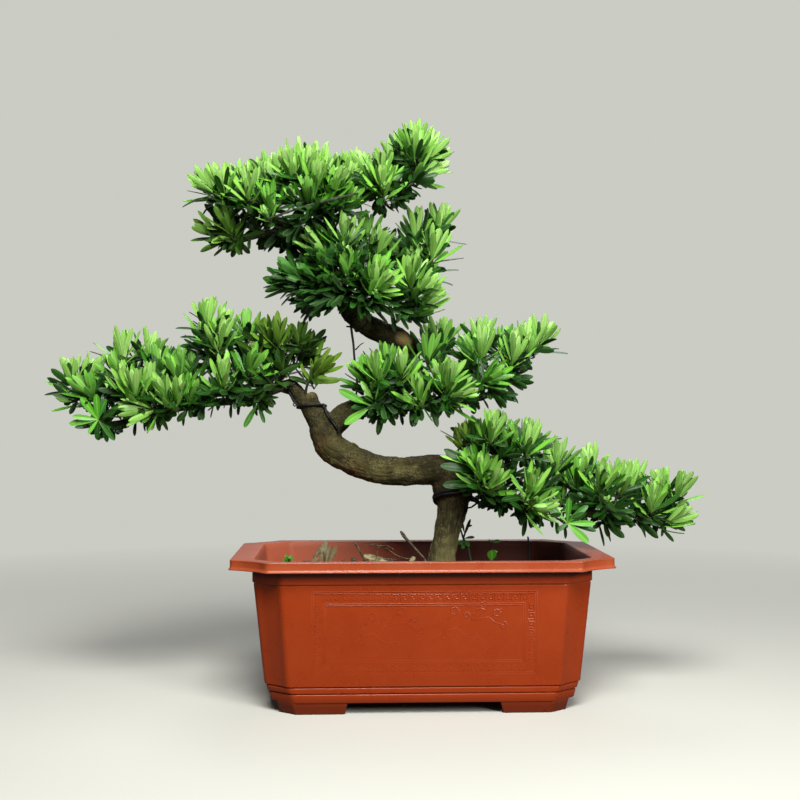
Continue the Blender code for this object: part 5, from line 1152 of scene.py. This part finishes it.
class Leafage:
    """The leaves, twigs and buds of one branch, gathered before they become a mesh."""

    def __init__(self, name):
        self.draw = random.Random(name)
        self.leaves = []
        self.stems = []

    def leaf(self, root, way, upper, length, width, bend, age):
        """Notes a leaf: where it starts, where it points, which way its upper face looks."""
        warm = any((root - Vector(place[:3])).length < place[3] for place in OLIVE_PLACES)
        tone = self.draw.random()
        self.leaves.append((*root, *way, *upper, length, width, bend, age, tone, float(warm)))

    def spray(self, route, count, openings, size, ages, top=0.62, hanging=1.0):
        """Leaves in a spiral up a stem: the lowest open widest, the topmost are short and upright."""
        turn = self.draw.uniform(0, 6.28)
        for number in range(count):
            share = number / max(1, count - 1)
            spot = share * (len(route) - 1)
            at = min(int(spot), len(route) - 2)
            run = (route[at + 1] - route[at]).normalized()
            root = route[at].lerp(route[at + 1], spot - at)
            side = run.cross(Vector((0.31, 0.87, 0.38))).normalized()
            out = side * math.cos(turn) + run.cross(side) * math.sin(turn)
            turn += SPIRAL + self.draw.uniform(-0.25, 0.25)
            open_wide, open_least = openings
            opening = open_wide + (open_least - open_wide) * share ** 0.8 + self.draw.uniform(-6, 6)
            opening = math.radians(opening)
            way = run * math.cos(opening) + out * math.sin(opening)
            upper = run * math.sin(opening) - out * math.cos(opening)
            tilt = out.cross(run) * self.draw.uniform(-0.35, 0.35)
            length = size[0] * (1 - (1 - top) * share ** 3) * self.draw.uniform(0.82, 1.06)
            if way.z < -0.2:
                length *= hanging
            age = ages[0] + (ages[1] - ages[0]) * share + self.draw.uniform(-0.06, 0.06)
            towards_light = Vector((0.15, 1.0 if root.y > TURNING_LINE else -1.0, 0.45))
            upper += tilt + towards_light * math.copysign(LIGHT_PULL, upper.dot(towards_light))
            upper = (upper - way * upper.dot(way)).normalized()
            bend = self.draw.uniform(-0.25, 0.45) if age > 0.7 else self.draw.uniform(-0.60, 0.15)
            width = size[1] * self.draw.uniform(0.85, 1.08)
            self.leaf(root, way, upper, length, width, bend, min(1.0, max(0.0, age)))

    def stem(self, route, radii, sides=6):
        """Notes a piece of wood along a route."""
        self.stems.append(tube(route, radii, sides))

    def bud(self, place):
        """A small cluster of yellow-green bud leaves."""
        axis = Vector((self.draw.uniform(-0.5, 0.5), -0.6, 1.0)).normalized()
        self.spray([place, place + axis * BUD_RISE], BUD_LEAVES, BUD_OPENING, BUD_LEAF, (0.0, 0.0))

    def mesh(self, name, materials):
        """One mesh object of all the leaves and stems, with the marks that colour them."""
        rows = np.array(self.leaves)
        root, way, upper = rows[:, 0:3], rows[:, 3:6], rows[:, 6:9]
        length, width, bend, age, tone, warm = rows[:, 9:15].T
        across = unit(np.cross(way, upper))
        bend = np.where(np.abs(bend) < 0.02, 0.02, bend)
        points = np.empty((len(rows), len(LEAF_STATIONS), len(LEAF_SECTION), 3))
        marks = np.empty((len(rows), len(LEAF_STATIONS), len(LEAF_SECTION), 4))
        for at, (station, share) in enumerate(zip(LEAF_STATIONS, LEAF_WIDTHS)):
            turned = (bend * station)[:, None]
            path = np.sin(turned) * way + (np.cos(turned) - 1) * upper
            centre = root + length[:, None] * path / bend[:, None]
            normal = np.cos(turned) * upper + np.sin(turned) * way
            thick = LEAF_THICKNESS * (0.5 + 0.5 * share)
            for corner, (side, rise) in enumerate(LEAF_SECTION):
                aside = across * (width * share * side / 2)[:, None]
                points[:, at, corner] = centre + aside + normal * rise * thick
                marks[:, at, corner, 0] = age
                marks[:, at, corner, 1] = tone
                marks[:, at, corner, 2] = station
                marks[:, at, corner, 3] = abs(side)
        ring = len(LEAF_SECTION)
        last = (len(LEAF_STATIONS) - 1) * ring
        shape = []
        for low in range(0, last, ring):
            for corner in range(ring):
                after = (corner + 1) % ring
                shape.append((low + corner, low + after, low + ring + after, low + ring + corner))
        shape += [(0, 5, 2, 1), (5, 4, 3, 2)]
        shape += [(last, last + 1, last + 2, last + 5), (last + 2, last + 3, last + 4, last + 5)]
        shape = np.array(shape)
        under = np.tile([0.0] * 4 + [1.0] * 2, len(LEAF_STATIONS) - 1)
        under = np.concatenate([under, [1.0, 1.0, 0.0, 0.0]])
        offsets = np.arange(len(rows)) * len(LEAF_STATIONS) * ring
        faces = (shape[None] + offsets[:, None, None]).reshape(-1, 4).tolist()
        points = points.reshape(-1, 3)
        stem_points, stem_faces = gathered(self.stems)
        first = len(points)
        every_point = points.tolist() + [tuple(point) for point in stem_points]
        every_face = faces + [tuple(first + corner for corner in face) for face in stem_faces]
        piece = new_piece(name, every_point, every_face, materials)
        mesh = piece.data
        spare = len(every_point) - first
        leaf_marks = np.concatenate([marks.reshape(-1, 4), np.zeros((spare, 4))])
        warmth = np.concatenate([np.repeat(warm, len(LEAF_STATIONS) * ring), np.zeros(spare)])
        beneath = np.concatenate([np.tile(under, len(rows)), np.zeros(len(stem_faces))])
        woody = np.concatenate([np.zeros(len(faces)), np.ones(len(stem_faces))]).astype(np.int32)
        leaf_layer = mesh.attributes.new("leaf_marks", "FLOAT_COLOR", "POINT")
        leaf_layer.data.foreach_set("color", leaf_marks.ravel())
        mesh.attributes.new("warmth", "FLOAT", "POINT").data.foreach_set("value", warmth)
        mesh.attributes.new("underside", "FLOAT", "FACE").data.foreach_set("value", beneath)
        mesh.polygons.foreach_set("material_index", woody)
        mesh.set_sharp_from_angle(angle=math.radians(60))
        return piece


def bowed(start, end, rise, steps=5):
    """Points on an even bow between two places."""
    middle = start.lerp(end, 0.5) + Vector((0, 0, rise))
    shares = [step / steps for step in range(steps + 1)]
    return [(1 - t) ** 2 * start + 2 * t * (1 - t) * middle + t * t * end for t in shares]


def flat_leaf(leafage, root, tip, width, bend, facing, age=0.0):
    """A single leaf between two places, its upper face partly turned to the viewer."""
    root, tip = Vector(root), Vector(tip)
    way = (tip - root).normalized()
    upper = Vector((0.0, -facing, 1.0 - facing))
    upper = (upper - way * upper.dot(way)).normalized()
    leafage.leaf(root, way, upper, (tip - root).length * (1 + bend * bend / 20), width, bend, age)


def ramp(tree, value, stops):
    """A colour that runs through the stops of (position, colour) as a value grows."""
    made = add_node(tree, "ShaderNodeValToRGB", {"Fac": value})
    elements = made.color_ramp.elements
    elements[0].position, elements[0].color = stops[0]
    elements[1].position, elements[1].color = stops[-1]
    for position, colour in stops[1:-1]:
        elements.new(position).color = colour
    return made.outputs["Color"]


leaf_paint, tree, shader = new_material("podocarp_leaves")
marks = add_node(tree, "ShaderNodeAttribute", attribute_name="leaf_marks")
parts = add_node(tree, "ShaderNodeSeparateColor", {"Color": marks.outputs["Color"]}).outputs
age, tone, lengthwise, sideways = parts["Red"], parts["Green"], parts["Blue"], marks.outputs["Alpha"]
under = add_node(tree, "ShaderNodeAttribute", attribute_name="underside").outputs["Fac"]
warm = add_node(tree, "ShaderNodeAttribute", attribute_name="warmth").outputs["Fac"]
place = add_node(tree, "ShaderNodeTexCoord").outputs["Object"]
cloud = mottled(tree, place, 420.0, 0.35, 0.65)
top = ramp(tree, age, LEAF_TOP)
below = ramp(tree, age, LEAF_BELOW)
pale_tone = mixed(tree, between(tree, tone, 0.0, 1.0, 0.0, 0.30), top, LEAF_PALE)
top = mixed(tree, between(tree, age, 0.3, 0.6, 1.0, 0.0), top, pale_tone)
young = between(tree, age, 0.25, 0.85, 1.0, 0.12)
ribbed = multiplied(tree, between(tree, sideways, 0.04, 0.26, 0.50, 0.0), young)
top = mixed(tree, ribbed, top, LEAF_RIB)
banded = multiplied(tree, between(tree, sideways, 0.10, 0.40, 0.0, 0.26), young)
below = mixed(tree, banded, below, LEAF_BAND)
# darker margins on both faces: painted shade between overlapping leaves
below = mixed(tree, between(tree, sideways, 0.66, 0.98, 0.0, 0.62), below, LEAF_EDGE_BELOW)
top = mixed(tree, between(tree, sideways, 0.72, 1.0, 0.0, 0.45), top, LEAF_EDGE_TOP)
colour = mixed(tree, under, top, below)
rooted = multiplied(tree, between(tree, lengthwise, 0.0, 0.22, 0.45, 0.0), young)
colour = mixed(tree, rooted, colour, LEAF_ROOT)
sunned = multiplied(tree, warm, between(tree, age, 0.45, 0.95, 0.72, 0.05))
colour = mixed(tree, sunned, colour, LEAF_OLIVE)
colour = mixed(tree, between(tree, tone, 0.55, 1.0, 0.0, 0.28), colour, LEAF_SHADOW)
colour = mixed(tree, between(tree, cloud, 0.0, 1.0, 0.0, 0.07), colour, LEAF_CLOUD)
tree.links.new(colour, shader.inputs["Base Color"])
tree.links.new(between(tree, under, 0.0, 1.0, 0.36, 0.52), shader.inputs["Roughness"])
tree.links.new(between(tree, age, 0.3, 0.9, 0.34, 0.28), shader.inputs["Specular IOR Level"])
bumped(tree, shader, cloud, 0.12, 0.0003)

twig_paint, tree, shader = new_material("green_twig")
place = add_node(tree, "ShaderNodeTexCoord").outputs["Object"]
rind = mottled(tree, place, 180.0, 0.40, 0.62)
tree.links.new(mixed(tree, rind, TWIG_DARK, TWIG_GREEN), shader.inputs["Base Color"])
tree.links.new(between(tree, rind, 0.0, 1.0, 0.85, 0.65), shader.inputs["Roughness"])
bumped(tree, shader, rind, 0.4, 0.0005)

for name, shoots in SHOOTS.items():
    leafage = Leafage(name)
    route, radii = smooth_route(LIMBS[name][1:], 4)
    leafage.stem(route, radii, 10)
    if name in BARE_TWIGS:
        leafage.stem(*smooth_route(BARE_TWIGS[name], 3))
    wood = route[3:] if len(route) > 8 else route[1:]
    if name != "knot_sprout":
        count = int(sum((b - a).length for a, b in zip(wood, wood[1:])) / LIMB_LEAF_STEP)
        leafage.spray(wood, count, LIMB_OPENING, LIMB_LEAF, LIMB_AGES, top=1.0, hanging=HANGING_SHARE)

    def reach(shoot):
        """How far a shoot is from the nearest wood."""
        return min((spot - Vector(shoot[:3])).length for spot in wood)

    for x, y, z, lean, kind in sorted(shoots, key=reach):
        leaf_count, stem_length, wide, least, length, width, first_age, last_age, skirt = kind
        base = Vector((x, y, z))
        turn = math.radians(lean)
        axis = Vector((math.sin(turn), SIDEWAYS_LEAN * y, math.cos(turn))).normalized()
        if kind == STALK:
            axis = Vector(STALK_WAY).normalized()
        start = min(wood, key=lambda spot: (spot - base).length)
        gap = (base - start).length
        twig = bowed(start, base, -0.10 * gap if base.z > start.z else 0.06 * gap)
        leafage.stem(twig, tapered(*TWIG_RADII, len(twig)))
        tip_route = [base - axis * TUFT_DEPTH, base + axis * (stem_length - TUFT_DEPTH)]
        leafage.stem(tip_route, (TWIG_RADII[1], TWIG_TIP_RADIUS))
        if gap > LEAFY_TWIG_FROM:
            count = int(gap / TWIG_LEAF_STEP)
            leafage.spray(twig, count, TWIG_OPENING, TWIG_LEAF, TWIG_AGES, top=0.95, hanging=HANGING_SHARE)
        leafage.spray(tip_route, leaf_count, (wide, least), (length, width), (first_age, last_age))
        skirt_route = [base - axis * depth for depth in SKIRT_RUN]
        leafage.spray(skirt_route, skirt, SKIRT_OPENING, (SKIRT_LENGTH * length, SKIRT_WIDTH), SKIRT_AGES,
                      top=1.0, hanging=HANGING_SHARE)
        wood += twig[1:]
    for spot in BUDDED:
        if reach(spot) < BUD_SEARCH:
            leafage.bud(Vector(spot))
    for leaf in SINGLE_LEAVES.get(name, ()):
        flat_leaf(leafage, *leaf)
    branch = leafage.mesh("leafy_" + name, [leaf_paint, twig_paint])
    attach(branch, "root")
    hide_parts(name)

# What lies on the soil: dry, curled leaves fallen from the tree, bits of stalk and bark, and a pebble.
# A thick dead twig stands in the soil beside the trunk.
DRY_LEAVES = {
    # root, tip, width, bend, how much the upper face turns to the viewer
    "dry_leaves_left": (
        ((-0.1180, 0.021, 0.1335), (-0.1045, 0.020, 0.1565), 0.0046, 0.5, 0.9),
        ((-0.1150, 0.018, 0.1330), (-0.1075, 0.019, 0.1545), 0.0036, 0.2, 0.8),
        ((-0.1060, 0.020, 0.1340), (-0.1002, 0.019, 0.1615), 0.0070, 0.2, 0.9),
        ((-0.1010, 0.017, 0.1335), (-0.0960, 0.016, 0.1560), 0.0044, 0.3, 0.8),
        ((-0.1000, 0.019, 0.1330), (-0.0890, 0.018, 0.1550), 0.0062, 0.2, 0.9),
        ((-0.1160, 0.012, 0.1320), (-0.1300, 0.004, 0.1345), 0.0062, 0.6, 0.2),
        ((-0.1000, 0.006, 0.1320), (-0.0800, 0.000, 0.1340), 0.0050, 0.4, 0.1),
        ((-0.1100, 0.028, 0.1330), (-0.1120, 0.044, 0.1440), 0.0056, 0.5, 0.4),
    ),
    "dry_leaves_right": (
        ((-0.0320, 0.021, 0.1375), (-0.0585, 0.017, 0.1470), 0.0064, 0.5, 0.7),
        ((-0.0560, 0.014, 0.1350), (-0.0380, 0.010, 0.1415), 0.0056, -0.4, 0.5),
        ((-0.0480, 0.024, 0.1370), (-0.0250, 0.026, 0.1425), 0.0048, 0.6, 0.6),
        ((-0.0100, 0.018, 0.1370), (-0.0035, 0.018, 0.1435), 0.0052, 0.3, 0.8),
        ((-0.0700, 0.006, 0.1330), (-0.0560, -0.006, 0.1350), 0.0052, 0.5, 0.2),
        ((-0.0500, 0.030, 0.1360), (-0.0560, 0.044, 0.1460), 0.0058, 0.4, 0.4),
    ),
}
DRY_STALKS = {
    "dry_leaves_left": (
        ((-0.1035, 0.016, 0.1330, 0.0007), (-0.1012, 0.015, 0.1420, 0.0008),
         (-0.1030, 0.015, 0.1500, 0.0006)),
        ((-0.1290, 0.018, 0.1335, 0.0022), (-0.1230, 0.018, 0.1372, 0.0030), (-0.1165, 0.018, 0.1368, 0.0026),
         (-0.1130, 0.018, 0.1345, 0.0012)),
        ((-0.0860, 0.016, 0.1350, 0.0012), (-0.0830, 0.015, 0.1385, 0.0014),
         (-0.0805, 0.015, 0.1410, 0.0007)),
        ((-0.0900, -0.004, 0.1330, 0.0009), (-0.0760, 0.000, 0.1355, 0.0010),
         (-0.0640, 0.010, 0.1350, 0.0007)),
    ),
    "dry_leaves_right": (
        ((-0.0560, 0.020, 0.1370, 0.0013), (-0.0605, 0.019, 0.1450, 0.0012), (-0.0650, 0.019, 0.1530, 0.0013),
         (-0.0690, 0.019, 0.1588, 0.0010)),
        ((-0.0540, 0.020, 0.1558, 0.0006), (-0.0480, 0.019, 0.1572, 0.0008), (-0.0426, 0.020, 0.1552, 0.0009),
         (-0.0390, 0.020, 0.1548, 0.0010), (-0.0294, 0.020, 0.1486, 0.0010), (-0.0203, 0.020, 0.1434, 0.0010),
         (-0.0060, 0.020, 0.1400, 0.0008)),
        ((-0.0426, 0.020, 0.1552, 0.0007), (-0.0440, 0.020, 0.1500, 0.0006),
         (-0.0455, 0.020, 0.1400, 0.0006)),
        ((-0.0600, 0.022, 0.1380, 0.0009), (-0.0480, 0.022, 0.1432, 0.0010), (-0.0360, 0.022, 0.1412, 0.0009),
         (-0.0220, 0.022, 0.1400, 0.0007)),
        ((-0.0390, 0.020, 0.1548, 0.0006), (-0.0340, 0.016, 0.1560, 0.0006),
         (-0.0270, 0.014, 0.1520, 0.0005)),
        ((-0.0330, 0.018, 0.1372, 0.0022), (-0.0295, 0.018, 0.1398, 0.0026),
         (-0.0262, 0.018, 0.1380, 0.0016)),
    ),
}
PEBBLE, PEBBLE_RADIUS, PEBBLE_HALF, PEBBLE_SIDES = (-0.0700, 0.018, 0.1400), 0.0036, 0.0040, 9
PEBBLE_FORM = ((-0.8, 0.5), (-0.4, 0.9), (0.0, 1.0), (0.4, 0.8), (0.8, 0.4))
DEAD_TWIG = (
    (0.0160, -0.019, 0.1080, 0.0013), (0.0140, -0.018, 0.1280, 0.0013), (0.0085, -0.0165, 0.1380, 0.0012),
    (0.0040, -0.015, 0.1460, 0.0012), (-0.0024, -0.014, 0.1530, 0.0013), (-0.0080, -0.013, 0.1595, 0.0013),
    (-0.0150, -0.012, 0.1670, 0.0017), (-0.0172, -0.012, 0.1700, 0.0020), (-0.0197, -0.012, 0.1735, 0.0013),
)
SIDE_TWIG = (
    (0.0080, -0.015, 0.1360, 0.0007), (0.0100, -0.016, 0.1500, 0.0007), (0.0135, -0.017, 0.1650, 0.0005),
)
STALK_SIDES, DEAD_TWIG_SIDES = 7, 8
STRAW_PALE, STRAW_DARK, STRAW_WITHERED = paint(150, 142, 102), paint(108, 96, 64), paint(62, 48, 28)
STRAW_EDGE, DEAD_DARK, DEAD_PALE = paint(52, 40, 24), paint(36, 26, 17), paint(98, 80, 54)

dry_paint, tree, shader = new_material("dry_leaves")
marks = add_node(tree, "ShaderNodeAttribute", attribute_name="leaf_marks")
parts = add_node(tree, "ShaderNodeSeparateColor", {"Color": marks.outputs["Color"]}).outputs
place = add_node(tree, "ShaderNodeTexCoord").outputs["Object"]
withered = mottled(tree, place, 240.0, 0.40, 0.62)
straw = mixed(tree, parts["Green"], STRAW_PALE, STRAW_DARK)
straw = mixed(tree, between(tree, withered, 0.0, 1.0, 0.0, 0.55), straw, STRAW_WITHERED)
straw = mixed(tree, between(tree, marks.outputs["Alpha"], 0.6, 1.0, 0.0, 0.55), straw, STRAW_EDGE)
tree.links.new(straw, shader.inputs["Base Color"])
tree.links.new(between(tree, withered, 0.0, 1.0, 0.65, 0.90), shader.inputs["Roughness"])
bumped(tree, shader, withered, 0.35, 0.0006)

dead_paint, tree, shader = new_material("dead_wood")
place = add_node(tree, "ShaderNodeTexCoord").outputs["Object"]
weathered = mottled(tree, place, 380.0, 0.40, 0.64)
tree.links.new(mixed(tree, weathered, DEAD_DARK, DEAD_PALE), shader.inputs["Base Color"])
tree.links.new(between(tree, weathered, 0.0, 1.0, 0.92, 0.75), shader.inputs["Roughness"])
bumped(tree, shader, weathered, 0.5, 0.0006)

for name, leaves in DRY_LEAVES.items():
    leafage = Leafage(name)
    for leaf in leaves:
        flat_leaf(leafage, *leaf)
    for stalk in DRY_STALKS[name]:
        leafage.stems.append(round_stem(stalk, STALK_SIDES))
    if name == "dry_leaves_right":
        spine = [Vector(PEBBLE) + Vector((0, 0, rise)) * PEBBLE_HALF for rise, _ in PEBBLE_FORM]
        leafage.stem(spine, [PEBBLE_RADIUS * share for _, share in PEBBLE_FORM], PEBBLE_SIDES)
    litter = leafage.mesh("fallen_" + name, [dry_paint, dead_paint])
    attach(litter, "root")
    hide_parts(name)
twig_solids = [round_stem(route, DEAD_TWIG_SIDES) for route in (DEAD_TWIG, SIDE_TWIG)]
dead_twig = new_piece("standing_dead_twig", *gathered(twig_solids), [dead_paint], sharp=60)
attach(dead_twig, "root")
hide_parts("dead_twig")

# Seedlings and a weed in the soil: a small green rosette on the left, a dark sprig that leans on the
# trunk, and a weed with a round leaf on the right.
SEEDLINGS = {
    # stems; leaves: root, tip, width, bend, how much the upper face turns to the viewer; the leaves' age
    "seedling_left": (
        (((-0.1400, 0.010, 0.1080, 0.0011), (-0.1402, 0.010, 0.1280, 0.0009),
          (-0.1400, 0.010, 0.1420, 0.0007)),),
        (
            ((-0.1400, 0.010, 0.1400), (-0.1448, 0.006, 0.1432), 0.0036, 0.6, 0.6),
            ((-0.1400, 0.010, 0.1405), (-0.1352, 0.007, 0.1440), 0.0034, 0.5, 0.6),
            ((-0.1400, 0.010, 0.1395), (-0.1420, 0.003, 0.1446), 0.0040, 0.5, 0.7),
            ((-0.1400, 0.010, 0.1400), (-0.1432, 0.012, 0.1478), 0.0030, 0.4, 0.8),
            ((-0.1400, 0.010, 0.1400), (-0.1378, 0.013, 0.1468), 0.0032, 0.4, 0.7),
            ((-0.1400, 0.009, 0.1390), (-0.1446, 0.004, 0.1378), 0.0036, 0.6, 0.5),
            ((-0.1400, 0.009, 0.1390), (-0.1358, 0.004, 0.1385), 0.0034, 0.5, 0.5),
            ((-0.1400, 0.008, 0.1395), (-0.1390, 0.002, 0.1430), 0.0034, 0.4, 0.8),
        ), 0.62,
    ),
    "seedling_right": (
        (((0.0585, 0.012, 0.1080, 0.0014), (0.0580, 0.012, 0.1300, 0.0013), (0.0560, 0.012, 0.1460, 0.0012),
          (0.0530, 0.012, 0.1560, 0.0012), (0.0490, 0.012, 0.1640, 0.0012), (0.0460, 0.012, 0.1740, 0.0008)),
         ((0.0490, 0.011, 0.1640, 0.0010), (0.0520, 0.010, 0.1740, 0.0009), (0.0560, 0.010, 0.1820, 0.0006))),
        (
            ((0.0490, 0.011, 0.1650), (0.0562, 0.008, 0.1850), 0.0034, 0.2, 0.7),
            ((0.0500, 0.011, 0.1700), (0.0470, 0.008, 0.1830), 0.0030, 0.4, 0.6),
            ((0.0500, 0.012, 0.1635), (0.0600, 0.008, 0.1670), 0.0040, 0.5, 0.5),
            ((0.0500, 0.012, 0.1620), (0.0440, 0.004, 0.1600), 0.0042, 0.5, 0.5),
            ((0.0500, 0.012, 0.1620), (0.0540, 0.002, 0.1580), 0.0044, 0.5, 0.7),
            ((0.0520, 0.012, 0.1760), (0.0580, 0.010, 0.1785), 0.0026, 0.3, 0.6),
            ((0.0495, 0.012, 0.1610), (0.0480, 0.004, 0.1545), 0.0040, 0.3, 0.7),
        ), 0.92,
    ),
    "weed": (
        (((0.0805, 0.015, 0.1080, 0.0010), (0.0800, 0.015, 0.1300, 0.0009), (0.0795, 0.015, 0.1470, 0.0008),
          (0.0810, 0.015, 0.1610, 0.0006)),),
        (
            ((0.0800, 0.014, 0.1398), (0.0800, 0.008, 0.1505), 0.0104, 0.3, 0.97),
            ((0.0808, 0.015, 0.1595), (0.0885, 0.012, 0.1615), 0.0048, 0.3, 0.5),
            ((0.0808, 0.015, 0.1595), (0.0770, 0.010, 0.1625), 0.0036, 0.3, 0.5),
            ((0.0795, 0.015, 0.1480), (0.0870, 0.020, 0.1500), 0.0050, 0.3, 0.4),
        ), 0.55,
    ),
}
for name, (stems, leaves, age) in SEEDLINGS.items():
    leafage = Leafage(name)
    for stem in stems:
        leafage.stems.append(round_stem(stem, STALK_SIDES))
    for leaf in leaves:
        flat_leaf(leafage, *leaf, age)
    seedling = leafage.mesh("growing_" + name, [leaf_paint, twig_paint])
    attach(seedling, "root")
    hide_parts(name)
